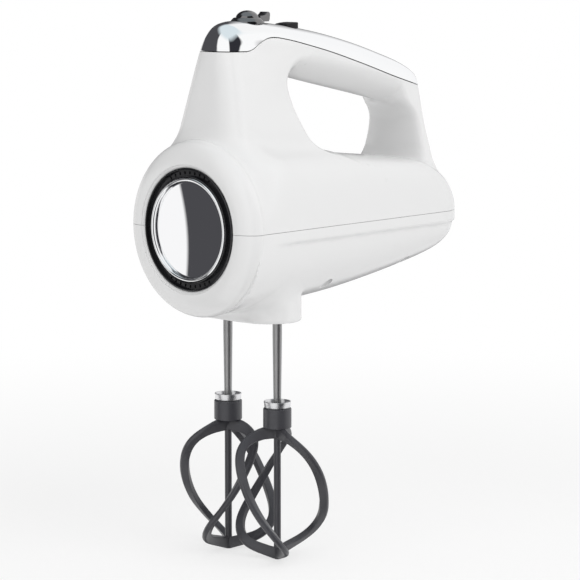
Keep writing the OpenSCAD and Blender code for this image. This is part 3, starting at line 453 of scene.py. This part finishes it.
def settle(points, rounds):
    """Moves the points onto the form's surface, along its own slope."""
    for _ in range(rounds):
        value, gradient = slope(points)
        length = np.maximum((gradient ** 2).sum(axis=1), 0.05)
        points = points + gradient * np.clip(-value / length, -1.5, 1.5)[:, None]
    return points


def add_mesh(name, points, faces, material=None, turn_faces=True):
    """A mesh object from points in mm of the motor's frame. Faces are turned outward if they aren't yet."""
    mesh = bpy.data.meshes.new(name)
    mesh.from_pydata(np.asarray(points) * MM + np.array(NOSE), [], faces)
    if turn_faces:
        bm = bmesh.new()
        bm.from_mesh(mesh)
        bmesh.ops.recalc_face_normals(bm, faces=bm.faces[:])
        bm.to_mesh(mesh)
        bm.free()
    mesh.update()
    obj = bpy.data.objects.new(name, mesh)
    bpy.context.scene.collection.objects.link(obj)
    if material:
        mesh.materials.append(material)
    finish_shading(obj)
    return obj


def finish_shading(obj, angle=30):
    """Smooth shading, with sharp edges where the surface turns by more than the angle."""
    mesh = obj.data
    mesh.polygons.foreach_set("use_smooth", [True] * len(mesh.polygons))
    mesh.set_sharp_from_angle(angle=math.radians(angle))


def apply_modifiers(obj):
    evaluated = obj.evaluated_get(bpy.context.evaluated_depsgraph_get())
    mesh = bpy.data.meshes.new_from_object(evaluated)
    obj.modifiers.clear()
    old = obj.data
    obj.data = mesh
    bpy.data.meshes.remove(old)


def combine(obj, operation, *others):
    """Adds, takes away or keeps only what the other solids fill."""
    for other in others:
        boolean = obj.modifiers.new("cut", "BOOLEAN")
        boolean.operation = operation
        boolean.solver = "MANIFOLD"
        boolean.object = other
        apply_modifiers(obj)
        bpy.data.objects.remove(other)
    return obj


def join(*objects):
    """One object from several that don't overlap."""
    bm = bmesh.new()
    for obj in objects:
        bm.from_mesh(obj.data)
    bm.to_mesh(objects[0].data)
    bm.free()
    for obj in objects[1:]:
        bpy.data.objects.remove(obj)
    return objects[0]


def copy_of(obj, name):
    new = obj.copy()
    new.data = obj.data.copy()
    new.name = name
    bpy.context.scene.collection.objects.link(new)
    return new


def paint(obj, material):
    """Gives an object one material, whatever it had."""
    obj.data.materials.clear()
    obj.data.materials.append(material)


def tube_faces(rings, count):
    """Faces of a closed tube, whose points are rings of count points each."""
    faces = [[a + i, a + (i + 1) % count, a + count + (i + 1) % count, a + count + i]
             for a in range(0, (rings - 1) * count, count) for i in range(count)]
    return faces + [list(range(count)), list(range((rings - 1) * count, rings * count))]


def lathe(name, profile, material=None, axis="z", at=(0, 0, 0), count=96):
    """A closed profile of radius and place along the axis, turned into a solid."""
    points, rings = [], []
    angles = np.arange(count) / count * 2 * math.pi
    for r, h in profile:
        if r < 1e-4:
            rings.append([len(points)] * count)
            points.append((0, 0, h))
        else:
            rings.append(list(range(len(points), len(points) + count)))
            points += [(r * math.cos(a), r * math.sin(a), h) for a in angles]
    faces = []
    for a, b in zip(rings, rings[1:] + rings[:1]):
        for k in range(count):
            n = (k + 1) % count
            face = list(dict.fromkeys((a[k], a[n], b[n], b[k])))
            if len(face) > 2:
                faces.append(face)
    points = np.array(points)
    if axis == "y":
        points = points[:, [0, 2, 1]]
    return add_mesh(name, points + np.array(at), faces, material)


def prism(name, outline, low, high, material=None, axis="x"):
    """An outline drawn across the axis, as a solid from low to high along it."""
    n = len(outline)
    order = {"x": [0, 1, 2], "y": [1, 0, 2], "z": [1, 2, 0]}[axis]
    points = np.array([(h, *p) for h in (low, high) for p in outline])[:, order]
    faces = [[i, (i + 1) % n, n + (i + 1) % n, n + i] for i in range(n)]
    faces += [list(range(n)), list(range(n, 2 * n))]
    return add_mesh(name, points, faces, material)


def block(low, high):
    (x0, y0, z0), (x1, y1, z1) = low, high
    return prism("block", [(y0, z0), (y1, z0), (y1, z1), (y0, z1)], x0, x1)


def rod(radius, low, high, at, axis="z", count=64):
    return lathe("rod", [(0, low), (radius, low), (radius, high), (0, high)], axis=axis, at=at, count=count)


def arc(center, r, start, end, steps, squash=1):
    """Points round an arc, in degrees, as radius and height."""
    angles = np.radians(np.linspace(start, end, steps))
    return [(center[0] + r * math.cos(a), center[1] + r * squash * math.sin(a)) for a in angles]


def bevel(obj, width, segments=3):
    soften = obj.modifiers.new("bevel", "BEVEL")
    soften.width = width * MM
    soften.segments = segments
    soften.limit_method = "ANGLE"
    soften.angle_limit = math.radians(35)
    apply_modifiers(obj)
    return obj


def even_out(directions, edges, rounds):
    """Averages directions with their neighbours'."""
    for _ in range(rounds):
        total = directions.copy()
        for a, b in ((0, 1), (1, 0)):
            np.add.at(total, edges[:, a], directions[edges[:, b]])
        directions = total / np.maximum(np.linalg.norm(total, axis=1), 1e-9)[:, None]
    return directions


def read(items, attribute, width=1, kind=np.float32):
    """One attribute of a mesh's vertices, edges, faces or corners, as an array."""
    values = np.empty(len(items) * width, kind)
    items.foreach_get(attribute, values)
    return values.reshape(-1, width) if width > 1 else values


def drum_slope(points):
    """Which points lie on the nose drum's round shoulder, and the way out from it there."""
    radius = np.hypot(points[:, 0], points[:, 2])
    out, fore = (radius - (DRUM_R - DRUM_BULGE)) / DRUM_BULGE, (DRUM_LEN - points[:, 1]) / DRUM_LEN
    on_drum = (np.abs(np.hypot(out, fore) - 1) < 0.004) & (out >= 0) & (fore >= 0)
    round_x, round_z = (points[:, k] / np.maximum(radius, 1e-6) * out / DRUM_BULGE for k in (0, 2))
    return on_drum, np.stack([round_x, -fore / DRUM_LEN, round_z], axis=1)


def true_normals(obj, rounds):
    """Shades what lies on the form with the form's own slope, whatever the mesh's triangles."""
    mesh = obj.data
    finish_shading(obj, 28)
    points = (read(mesh.vertices, "co", 3).astype(float) - np.array(NOSE)) / MM
    value, way = slope(points)
    on_form = (np.abs(value) < 0.05) & (points[:, 1] > DRUM_LEN + 0.3)
    on_drum, drum_way = drum_slope(points)
    way = np.where(on_drum[:, None], drum_way, way)
    way /= np.maximum(np.linalg.norm(way, axis=1), 1e-9)[:, None]
    edges = read(mesh.edges, "vertices", 2, np.int32)
    way = even_out(way, edges[on_form[edges].all(axis=1)], rounds)
    vertex = read(mesh.loops, "vertex_index", kind=np.int32)
    corner = read(mesh.corner_normals, "vector", 3)
    corners = read(mesh.polygons, "loop_total", kind=np.int32)
    flat = np.repeat(read(mesh.polygons, "normal", 3), corners, axis=0)
    wanted = way[vertex]
    fits = (on_form | on_drum)[vertex] & ((wanted * flat).sum(axis=1) > 0.75)
    mesh.normals_split_custom_set(np.where(fits[:, None], wanted, corner).tolist())


# ---- housing shells -----------------------------------------------------------------------------

GRID, HOLLOW_GRID = 1.0, 2.3
FORM_BOX = (-47.5, 6.4, -52.5), (47.5, 190.5, 107.5)
HOLLOW_FRONT = 10.1
DRUM_BACK = 12.5
POSTS = [(side * x, y) for side in (-1, 1) for x, y in ((26.5, 75.7), (24.0, 140.0))]
POST_R, RECESS_R, PILOT_R, SCREW_SEAT = 5.0, 3.5, 1.6, -20.0
SOCKET_R, SOCKET_DEPTH = 6.5, 7.0
INLET_R, INLET_Z = 5.25, 12.0
HEEL_Z, HEEL_HALF, HEEL_GAP = -6.0, (9.0, 3.5), 0.05
DIAL_Y, DIAL_Z, DIAL_R, LEDGE_Z = 44.5, 103.0, 8.8, 82.0
DOME_R, LEVER_R, DIAL_GAP = 6.1, 7.5, 0.4
TURBO_Y, TURBO_HALF, TURBO_GAP = (69.2, 78.6), 4.2, 0.3
COVER_GAP = 0.5
ABOVE = 120
FAR = 300


def nose_drum():
    """The round nose, with the pocket for the nose rings and its lip."""
    pocket = [(0, DRUM_BACK), (0, WINDOW_DEPTH), (WINDOW_R, WINDOW_DEPTH)]
    lip = [(WINDOW_R + out, y) for out, y in ((0, 1.45), (0.15, 1.25), (1.35, 0.4), (1.45, 0.45), (1.6, 0.1))]
    shoulder = [(DRUM_R - DRUM_BULGE * (1 - math.sin(a)), DRUM_LEN * (1 - math.cos(a)))
                for a in np.linspace(0, math.pi / 2, 33)]
    back = [(DRUM_R - 0.15, DRUM_LEN + 0.35), (DRUM_R - 0.75, DRUM_LEN + 0.75), (DRUM_R - 3, DRUM_BACK)]
    return lathe("drum", pocket + lip + shoulder + back, WHITE, axis="y", count=256)


def hollow_space():
    """The room inside the wall, apart from the screw posts."""
    low, high = FORM_BOX
    points, quads = surface_net(WALL, (low[0], HOLLOW_FRONT, low[2]), high, HOLLOW_GRID)
    hollow = add_mesh("hollow", points, quads.tolist(), WHITE, turn_faces=False)
    return combine(hollow, "DIFFERENCE", join(*(rod(POST_R, -60, 60, (x, y, 0)) for x, y in POSTS)))


def housing_holes():
    """Screw recesses and pilots, beater sockets, heel pad, cord inlet, and the wells of the controls."""
    half_x, half_z = (half + HEEL_GAP for half in HEEL_HALF)
    dial_well = [(0, LEDGE_Z), (LEVER_R + DIAL_GAP, LEDGE_Z), (LEVER_R + DIAL_GAP, DIAL_Z),
                 (DIAL_R + DIAL_GAP, DIAL_Z), (DIAL_R + DIAL_GAP, ABOVE), (0, ABOVE)]
    return [
        *(rod(RECESS_R, -60, SCREW_SEAT, (x, y, 0)) for x, y in POSTS),
        *(rod(PILOT_R, SCREW_SEAT - 0.5, SCREW_END + 0.5, (x, y, 0)) for x, y in POSTS),
        *(rod(SOCKET_R, BOSS_BOTTOM - 1, BOSS_BOTTOM + SOCKET_DEPTH, (side * SPINDLE_X, SPINDLE_Y, 0))
          for side in (-1, 1)),
        block((-half_x, BODY_LEN - 4, HEEL_Z - half_z), (half_x, BODY_LEN + 5, HEEL_Z + half_z)),
        rod(INLET_R, 150, 200, (0, 0, INLET_Z), axis="y"),
        lathe("dial", dial_well, at=(0, DIAL_Y, 0)),
        block((-TURBO_HALF - TURBO_GAP, TURBO_Y[0] - TURBO_GAP, LEDGE_Z),
              (TURBO_HALF + TURBO_GAP, TURBO_Y[1] + TURBO_GAP, ABOVE))]


def over_edge(gap):
    """All that lies over the cover's edge, raised by gap."""
    edge = [(y, z + gap) for y, z in EDGE_LINE]
    return prism("over", edge + [(FAR, edge[-1][1]), (FAR, FAR), (-FAR, FAR), (-FAR, edge[0][1])], -FAR, FAR)


def stands_for(piece, node, body):
    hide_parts(node)
    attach(piece, body)


points, quads = surface_net(0, *FORM_BOX, GRID)
upper = add_mesh("upper_shell", settle(points, 2), quads.tolist(), WHITE, turn_faces=False)
combine(upper, "UNION", nose_drum())
combine(upper, "DIFFERENCE", hollow_space())
combine(upper, "DIFFERENCE", *housing_holes())
lower = copy_of(upper, "lower_shell")
combine(lower, "DIFFERENCE", block((-FAR, -FAR, -SEAM / 2), (FAR, FAR, FAR)))
cover = copy_of(upper, "cover_shell")
combine(cover, "INTERSECT", over_edge(COVER_GAP / 2))
combine(upper, "DIFFERENCE", block((-FAR, -FAR, -FAR), (FAR, FAR, SEAM / 2)), over_edge(-COVER_GAP / 2))
paint(cover, CHROME)
for shell, rounds in ((upper, 1), (lower, 1), (cover, 8)):
    true_normals(shell, rounds)
stands_for(upper, "upper_housing", "housing")
stands_for(lower, "lower_housing", "housing")
stands_for(cover, "top_cover", "housing")

# ---- nose ---------------------------------------------------------------------------------------

SLOT_R, SLOT_HALF, SLOT_Y, SLOT_ANGLE, SLOTS = (28.2, 29.8), 0.5, (1.5, 4.4), 7, 9
TRIM_R, TRIM_WIRE = 25.7, 0.85
DISC_R, DISC_RISE = 24.2, 1.5


def vent_slot(degrees):
    """A cut into the floor of the ring's groove."""
    a = math.radians(degrees)
    along, across = np.array([math.cos(a), math.sin(a)]), np.array([-math.sin(a), math.cos(a)])
    near, far = SLOT_R
    rim = [r * along + w * across
           for r, w in ((near, -SLOT_HALF), (far, -SLOT_HALF), (far, SLOT_HALF), (near, SLOT_HALF))]
    return prism("slot", rim, *SLOT_Y, axis="y")


ring = lathe("nose_ring_smooth", [
    (RING_R, WINDOW_DEPTH), (RING_R, 1.25), (RING_R - 0.15, 0.85), (RING_R - 0.5, 0.62), (RING_R - 0.8, 0.6),
    (30.6, 0.75), (30.6, 2.6), (27.4, 2.6), (27.4, 0.75),
    (27.25, 0.6), (27.0, 0.62), (26.75, 0.8), (26.65, 1.1), (26.65, WINDOW_DEPTH)],
    BLACK, axis="y", count=256)
slots = (vent_slot(middle + SLOT_ANGLE * (k - SLOTS // 2)) for middle in (90, -90) for k in range(SLOTS))
combine(ring, "DIFFERENCE", join(*slots))
finish_shading(ring)
trim = lathe("nose_trim_smooth", [(TRIM_R - TRIM_WIRE, WINDOW_DEPTH)]
             + arc((TRIM_R, 0.9), TRIM_WIRE, 180, 360, 17, 0.94) + [(TRIM_R + TRIM_WIRE, WINDOW_DEPTH)],
             CHROME, axis="y", count=256)
crown = [(r, 2 - DISC_RISE * (1 - (r / DISC_R) ** 2)) for r in np.linspace(0, DISC_R, 41)]
rim = [(24.55, 2.1), (24.75, 2.4), (24.75, WINDOW_DEPTH)]
disc = lathe("nose_disc_smooth", [(0, WINDOW_DEPTH)] + crown + rim, MIRROR, axis="y", count=256)
stands_for(ring, "nose_ring", "housing")
stands_for(trim, "nose_trim_ring", "housing")
stands_for(disc, "nose_disc", "housing")

# ---- controls -----------------------------------------------------------------------------------

DOME_RISE = 4.4
TUBE_R = 6.45
FIN_HALF = 2.6

dome = lathe("eject_dome", [(0, 94), (DOME_R - 2, 94), (DOME_R - 0.1, 96), (DOME_R, 96.2)]
             + arc((0, DIAL_Z + 2.6), DOME_R, 0, 90, 25, DOME_RISE / DOME_R), DARK_CHROME,
             at=(0, DIAL_Y, 0), count=128)
stands_for(dome, "eject_button", "ejector")

lever = lathe("speed_dial", [
    (TUBE_R, 90.4), (LEVER_R, 90.4), (LEVER_R, 103.2), (8.55, 103.2), (8.75, 103.3), (DIAL_R, 103.5),
    (DIAL_R, 104.15), (8.6, 104.5), (8.2, 105.1), (7.7, 105.7), (7.2, 106.1), (6.75, 106.3), (6.55, 106.25),
    (TUBE_R, 106.0)], DARK_CHROME, at=(0, DIAL_Y, 0), count=128)
outline = [(7, 1.1), (13.4, 1.1), (14.0, 2.2)] + arc((12.85, 4.7), 1.4, -10, 165, 16)
outline += arc((8.6, 6), 3.2, -22, -90, 10, 0.56) + [(7, 4.1)]
fin = prism("speed_fin", [(DIAL_Y + y, DIAL_Z + z) for y, z in outline], -FIN_HALF, FIN_HALF, DARK_CHROME)
combine(lever, "UNION", bevel(fin, 1.2, 6))
finish_shading(lever)
stands_for(lever, "speed_lever", "selector")

turbo = prism("turbo_wedge", [(TURBO_Y[0], 90.2), (TURBO_Y[1], 90.2), (TURBO_Y[1], 103.3), (75.5, 103.25),
                              (72.2, 103.0), (TURBO_Y[0], 102.5)], -TURBO_HALF, TURBO_HALF, BLACK_SATIN)
bevel(turbo, 0.6, 4)
finish_shading(turbo, 50)
stands_for(turbo, "turbo_button", "turbo")

# ---- beaters ------------------------------------------------------------------------------------

WHISK_H, WHISK_R, WHISK_TURN, WHISK_START = 70.0, 27.0, 118.0, -16.6
HUB_Z, HUB_TOP, HUB_R = -106.0, -95.6, 7.4
FOOT_Z = HUB_Z - WHISK_H
CORE_R, FOOT_R = 1.85, 2.3
CUP_TOP, CUP_R = -92.0, 7.1
STEM_R, STEM_FOOT_R = 2.45, 1.95
STEM_FOOT_Z, STEM_FULL_Z, STEM_TOP = HUB_Z + 2, -58.0, 6.0
WING_REACH, WING_HALF, WING_Z = 4.6, 0.8, (-43, -38)
CUP_SLOT_X, CUP_SLOT_HALF = 4.6, (1.1, 1.5)
ARM_W, ARM_T = 4.8, 3.2
ARM_ROWS = np.array([    # shares of the height, the radius, the turn and the width
    [0, .02, 0, 1.4], [.003, .16, .01, 1.4], [.015, .325, .02, 1.3], [.046, .53, .055, 1.12],
    [.095, .715, .11, 1], [.265, .925, .275, 1], [.435, .98, .41, 1], [.605, 1, .555, 1],
    [.775, .975, .72, 1], [.865, .85, .81, 1], [.93, .62, .89, 1.05], [.968, .325, .945, 1.15],
    [1, .04, 1, 1.25]])
ARM_SECTION = np.array([[-.5, -.4], [-.44, -.5], [.26, -.5], [.33, -.46], [.47, -.24], [.5, -.15],
                        [.5, .15], [.47, .24], [.33, .46], [.26, .5], [-.44, .5], [-.5, .4]])
ARM_STEPS = 110


def spline(values, at, where):
    """A cubic curve through rows of values at the places at, without steps in its bend."""
    gap = np.diff(at)[:, None]
    rise = np.diff(values, axis=0) / gap
    system, right = np.eye(len(at)), np.zeros(values.shape)
    for i in range(1, len(at) - 1):
        system[i, i - 1:i + 2] = gap[i - 1, 0], 2 * (gap[i - 1, 0] + gap[i, 0]), gap[i, 0]
        right[i] = 6 * (rise[i] - rise[i - 1])
    bend = np.linalg.solve(system, right)
    i = np.clip(np.searchsorted(at, where) - 1, 0, len(at) - 2)
    h, t = gap[i], (where - at[i])[:, None]
    return (values[i] + t * (rise[i] - h * (2 * bend[i] + bend[i + 1]) / 6)
            + t ** 2 * bend[i] / 2 + t ** 3 * (bend[i + 1] - bend[i]) / (6 * h))


def whisk_path(rows, start, turn):
    """The middle of an arm, and the direction out from the axis, at each row."""
    angle = np.radians(start + turn * rows[:, 2])
    out = np.stack([np.cos(angle), np.sin(angle), np.zeros_like(angle)], axis=1)
    center = out * ((WHISK_R - ARM_W / 2) * rows[:, 1])[:, None]
    center[:, 2] = HUB_Z - ARM_W / 2 - (WHISK_H - ARM_W / 2 * (1 + ARM_ROWS[-1, 3])) * rows[:, 0]
    return center, out


def whisk_arm(middle, start, turn):
    """One helical arm: a ribbon from the hub round to the foot."""
    steps = np.linalg.norm(np.diff(whisk_path(ARM_ROWS, start, turn)[0], axis=0), axis=1)
    at = np.concatenate([[0], np.cumsum(steps)])
    line = spline(ARM_ROWS, at, np.linspace(0, at[-1], ARM_STEPS))
    center, out = whisk_path(line, start, turn)
    along = np.gradient(center, axis=0)
    along /= np.linalg.norm(along, axis=1)[:, None]
    wide = out - along * (out * along).sum(axis=1)[:, None]
    wide /= np.linalg.norm(wide, axis=1)[:, None]
    thick = np.cross(along, wide)
    rings = [c + np.outer(ARM_SECTION[:, 0] * ARM_W * share, w) + np.outer(ARM_SECTION[:, 1] * ARM_T, t)
             for c, w, t, share in zip(center, wide, thick, line[:, 3])]
    return add_mesh("arm", np.concatenate(rings) + middle, tube_faces(len(rings), len(ARM_SECTION)), NYLON)


def whisk(name, middle, start, turn):
    """Three arms round a core with a foot button, under a collar that grips the stem."""
    arms = [whisk_arm(middle, start + 120 * k, turn) for k in range(3)]
    core = lathe("core", [
        (0, FOOT_Z), (FOOT_R - 0.7, FOOT_Z), (FOOT_R - 0.2, FOOT_Z + 0.5), (FOOT_R, FOOT_Z + 2.6),
        (CORE_R, FOOT_Z + 3.8), (CORE_R, HUB_Z + 1), (0, HUB_Z + 1)], NYLON, at=middle, count=64)
    collar = lathe("collar", [
        (0, HUB_Z), (HUB_R - 0.5, HUB_Z), (HUB_R - 0.15, HUB_Z + 0.15), (HUB_R, HUB_Z + 0.5),
        (HUB_R, HUB_TOP - 0.5), (HUB_R - 0.15, HUB_TOP - 0.15), (HUB_R - 0.5, HUB_TOP),
        (2.0, HUB_TOP), (2.0, STEM_FOOT_Z), (0, STEM_FOOT_Z)], NYLON, at=middle, count=128)
    piece = combine(arms[0], "UNION", *arms[1:], core, collar)
    piece.name = "whisk_arms_" + name
    paint(piece, NYLON)
    finish_shading(piece, 62)
    even = piece.modifiers.new("even", "WEIGHTED_NORMAL")
    even.keep_sharp = True
    apply_modifiers(piece)
    return piece


def cup(name, middle):
    """A plated cup on top of the collar, with two slots beside the stem."""
    piece = lathe("cup_bowl_" + name, [
        (2.1, HUB_TOP), (6.0, HUB_TOP), (6.45, HUB_TOP + 0.15), (6.7, HUB_TOP + 0.5), (CUP_R, CUP_TOP - 0.2),
        (CUP_R - 0.1, CUP_TOP), (CUP_R - 0.5, CUP_TOP), (CUP_R - 0.65, CUP_TOP - 0.2), (6.1, HUB_TOP + 1.3),
        (5.8, HUB_TOP + 1), (2.1, HUB_TOP + 1)], CUP_METAL, at=middle, count=128)
    wide, deep = CUP_SLOT_HALF
    slots = (block((x - wide, SPINDLE_Y - deep, -97), (x + wide, SPINDLE_Y + deep, -94))
             for x in (middle[0] - CUP_SLOT_X, middle[0] + CUP_SLOT_X))
    combine(piece, "DIFFERENCE", *slots)
    finish_shading(piece)
    return piece


def stem(name, middle):
    """A rod that widens upwards, with two flat wings by which the spindle drives it."""
    piece = lathe("stem_rod_" + name, [
        (0, STEM_FOOT_Z), (STEM_FOOT_R, STEM_FOOT_Z), (STEM_FOOT_R, HUB_TOP), (STEM_R, STEM_FULL_Z),
        (STEM_R, STEM_TOP - 0.8), (STEM_R - 0.55, STEM_TOP), (0, STEM_TOP)], STEEL, at=middle, count=64)
    wings = block((middle[0] - WING_REACH, SPINDLE_Y - WING_HALF, WING_Z[0]),
                  (middle[0] + WING_REACH, SPINDLE_Y + WING_HALF, WING_Z[1]))
    combine(piece, "UNION", bevel(wings, 0.25))
    paint(piece, STEEL)
    finish_shading(piece)
    return piece


# The left whisk mirrors the right one and is turned by half the gap between two arms, so that the
# arms pass through each other's gaps.
for side, name, start in ((1, "right", WHISK_START), (-1, "left", 180 - WHISK_START + 60)):
    middle = np.array([side * SPINDLE_X, SPINDLE_Y, 0])
    body = "beater_" + name
    stands_for(whisk(name, middle, start, side * WHISK_TURN), "whisk_" + name, body)
    stands_for(cup(name, middle), "cup_" + name, body)
    stands_for(stem(name, middle), "stem_" + name, body)

# ---- eject spring -------------------------------------------------------------------------------

SPRING_WIRE, SPRING_TURNS, TURN_STEPS, WIRE_SIDES = 0.5, 6, 40, 12


def coil(center, radius, length):
    """A round wire wound into an upright coil."""
    sweep = np.linspace(0, SPRING_TURNS * 2 * math.pi, SPRING_TURNS * TURN_STEPS + 1)
    climb = np.linspace(SPRING_WIRE - length / 2, length / 2 - SPRING_WIRE, len(sweep))
    around = np.arange(WIRE_SIDES) / WIRE_SIDES * 2 * math.pi
    reach, lift = radius + SPRING_WIRE * np.cos(around), SPRING_WIRE * np.sin(around)
    points = [center + (r * math.cos(a), r * math.sin(a), h + up)
              for a, h in zip(sweep, climb) for r, up in zip(reach, lift)]
    return add_mesh("eject_coil", points, tube_faces(len(sweep), WIRE_SIDES), SATIN_STEEL)


spring_middle = (spring_low + spring_high) / 2
spring_len = (spring_high.z - spring_low.z) / MM
spring_r = (spring_high.x - spring_low.x) / 2 / MM - SPRING_WIRE
spring = coil((np.array(spring_middle) - np.array(NOSE)) / MM, spring_r, spring_len)
stands_for(spring, "eject_spring", "housing")
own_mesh(spring)

# ---- finishes of the CAD pieces that stay -------------------------------------------------------

FINISH = {
    SATIN_STEEL: ["eject_rod", "eject_bridge", "gearbox_screws", "motor_shaft", "spindle_right",
                  "spindle_left", "detent_clip_right", "detent_clip_left", "housing_screws"],
    DIECAST: ["gearbox_frame", "gearbox_bridge", "rear_bracket"],
    BRONZE: ["front_bearing", "rear_bearing", "brush_holders", "lower_bushes", "upper_bushes"],
    COPPER: ["armature_winding", "commutator", "field_coils"],
    LAMINATION: ["armature_core", "stator_core"],
    GEAR_NYLON: ["cooling_fan", "worm_wheel_right", "worm_wheel_left"],
    CARBON: ["carbon_brushes"],
    SWITCH: ["speed_switch", "turbo_switch"],
    BOARD: ["circuit_board"],
    RUBBER: ["cord_gland", "heel_pad"],
}
for material, nodes in FINISH.items():
    for node in nodes:
        paint(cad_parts[node], material)

# ---- floor --------------------------------------------------------------------------------------

FLOOR_HALF = 15
FLOOR_PALE = 0.96
PLAIN_NEAR, PLAIN_FAR = 0.15, 0.7    # from the object's middle, in metres
PLAIN_SHARE = 0.64


def floor_material():
    """A pale floor that keeps the object's shadow near it and is plain white far off."""
    mat, tree, shader = new_material("floor")
    fill(shader, {"Base Color": (FLOOR_PALE, FLOOR_PALE, FLOOR_PALE, 1), "Roughness": 0.9,
                  "Specular IOR Level": 0})
    path = add_node(tree, "LightPath", {})
    place = add_node(tree, "TexCoord", {})
    away = add_node(tree, "VectorMath", {0: place.outputs["Object"]}, operation="LENGTH")
    plain = add_node(tree, "MapRange", {"Value": away.outputs["Value"], "From Min": PLAIN_NEAR,
                                        "From Max": PLAIN_FAR, "To Min": PLAIN_SHARE},
                     interpolation_type="SMOOTHSTEP")
    share = calculate(tree, "MULTIPLY", path.outputs["Is Camera Ray"], plain.outputs["Result"])
    glow = add_node(tree, "Emission", {"Strength": 1.0})
    seen = add_node(tree, "MixShader", {"Fac": share, 1: shader.outputs["BSDF"], 2: glow.outputs["Emission"]})
    # reflections look through the floor to the studio
    clear = add_node(tree, "BsdfTransparent", {})
    both = add_node(tree, "MixShader", {"Fac": path.outputs["Is Glossy Ray"], 1: seen.outputs["Shader"],
                                        2: clear.outputs["BSDF"]})
    fill(tree.nodes["Material Output"], {"Surface": both.outputs["Shader"]})
    return mat


floor_mesh = bpy.data.meshes.new("floor")
corners = [(x * FLOOR_HALF, y * FLOOR_HALF, 0) for x, y in ((-1, -1), (1, -1), (1, 1), (-1, 1))]
floor_mesh.from_pydata(corners, [], [(0, 1, 2, 3)])
floor_mesh.materials.append(floor_material())
floor = bpy.data.objects.new("floor", floor_mesh)
floor.location.z = cad_box[0].z
bpy.context.scene.collection.objects.link(floor)

# ---- world and lamps ----------------------------------------------------------------------------

# What gloss and bright plating reflect: a studio of pale walls and dark screens. Each list gives the
# azimuth in degrees from the nose towards +X, and the brightness there.
LOW_STUDIO = [
    (-180, 0.97), (-152, 0.97), (-146, 0.12), (-124, 0.12), (-116, 1.0), (-60, 1.0), (-46, 1.0),
    (-45.6, 0.07), (-25, 0.07), (-20, 1.0), (46, 1.0), (52, 0.03), (112, 0.03), (118, 1.0),
    (135, 1.0), (180, 0.97)]
HIGH_STUDIO = [
    (-180, 0.97), (-150, 0.97), (-140, 0.6), (-130, 0.07), (-25, 0.07), (-20, 1.0),
    (46, 1.0), (52, 0.03), (112, 0.03), (118, 1.0), (135, 1.0), (180, 0.97)]
BLUE_CAST = 0.007
LEAN_HEIGHT, LEAN_GAIN, LEAN_MOST = 0.12, 2.0, 0.036
HIGH_FROM, HIGH_TO = 0.06, 0.14        # heights between which the low walls give way to the high ones
ZENITH_FROM, ZENITH_TO = 0.72, 0.86    # heights between which the walls give way to the ceiling
PALE_FROM, PALE_TO = 0.4, 0.44         # places towards the back between which the ceiling turns paler
ZENITH = (0.72, 0.80, 0.84, 1)
PALE_CEILING = (0.95, 0.95, 0.95, 1)
ROOM_LIGHT = (0.62, 0.62, 0.62, 1)
PLAIN_WHITE = (1, 1, 1, 1)


def studio(tree, azimuth, levels):
    """The brightness of the studio's walls at an azimuth in radians."""
    wall = add_node(tree, "ValToRGB", {"Fac": spread(tree, azimuth, -math.pi, math.pi)})
    ramp = wall.color_ramp
    for _ in levels[2:]:
        ramp.elements.new(0.5)
    for element, (degrees, level) in zip(ramp.elements, levels):
        element.position = (degrees + 180) / 360
        element.color = (level, level, min(1, level + BLUE_CAST), 1)
    return wall.outputs["Color"]


def build_world():
    """A plain grey light, a white background, and the studio for reflections only."""
    world = bpy.data.worlds.new("world")
    bpy.context.scene.world = world
    world.use_nodes = True
    tree = world.node_tree
    place = add_node(tree, "TexCoord", {})
    way = add_node(tree, "SeparateXYZ", {"Vector": place.outputs["Generated"]})
    x, y, z = (way.outputs[k] for k in "XYZ")
    turn = calculate(tree, "ARCTAN2", x, calculate(tree, "MULTIPLY", y, -1))
    # the walls lean: their edges bend away above and below the height where the screens meet the nose
    height = calculate(tree, "POWER", calculate(tree, "ADD", z, LEAN_HEIGHT), 2)
    lean = calculate(tree, "MULTIPLY_ADD", calculate(tree, "MINIMUM", height, LEAN_MOST), LEAN_GAIN, turn)
    walls = color_mix(tree, spread(tree, z, HIGH_FROM, HIGH_TO), studio(tree, lean, LOW_STUDIO),
                      studio(tree, lean, HIGH_STUDIO))
    ceiling = color_mix(tree, spread(tree, y, PALE_FROM, PALE_TO), ZENITH, PALE_CEILING)
    room = color_mix(tree, spread(tree, z, ZENITH_FROM, ZENITH_TO), walls, ceiling)
    path = add_node(tree, "LightPath", {})
    lit = color_mix(tree, path.outputs["Is Glossy Ray"], ROOM_LIGHT, room)
    seen = color_mix(tree, path.outputs["Is Camera Ray"], lit, PLAIN_WHITE)
    fill(tree.nodes["Background"], {"Color": seen})


def area_lamp(name, place, aim, size, power):
    """A soft lamp that lights but doesn't show in reflections."""
    lamp = bpy.data.lights.new(name, "AREA")
    lamp.shape = "RECTANGLE"
    lamp.size, lamp.size_y = size
    lamp.energy = power
    obj = bpy.data.objects.new(name, lamp)
    obj.location = place
    obj.rotation_euler = (Vector(aim) - Vector(place)).to_track_quat("-Z", "Y").to_euler()
    bpy.context.scene.collection.objects.link(obj)
    obj.visible_glossy = False


MIDDLE = (0, 0, 0.15)
build_world()
area_lamp("key", (1.3, 0.05, 1.25), MIDDLE, (1.2, 1.2), 9.5)
area_lamp("fill", (0.3, -1.3, 1.2), MIDDLE, (1.2, 1.0), 5)
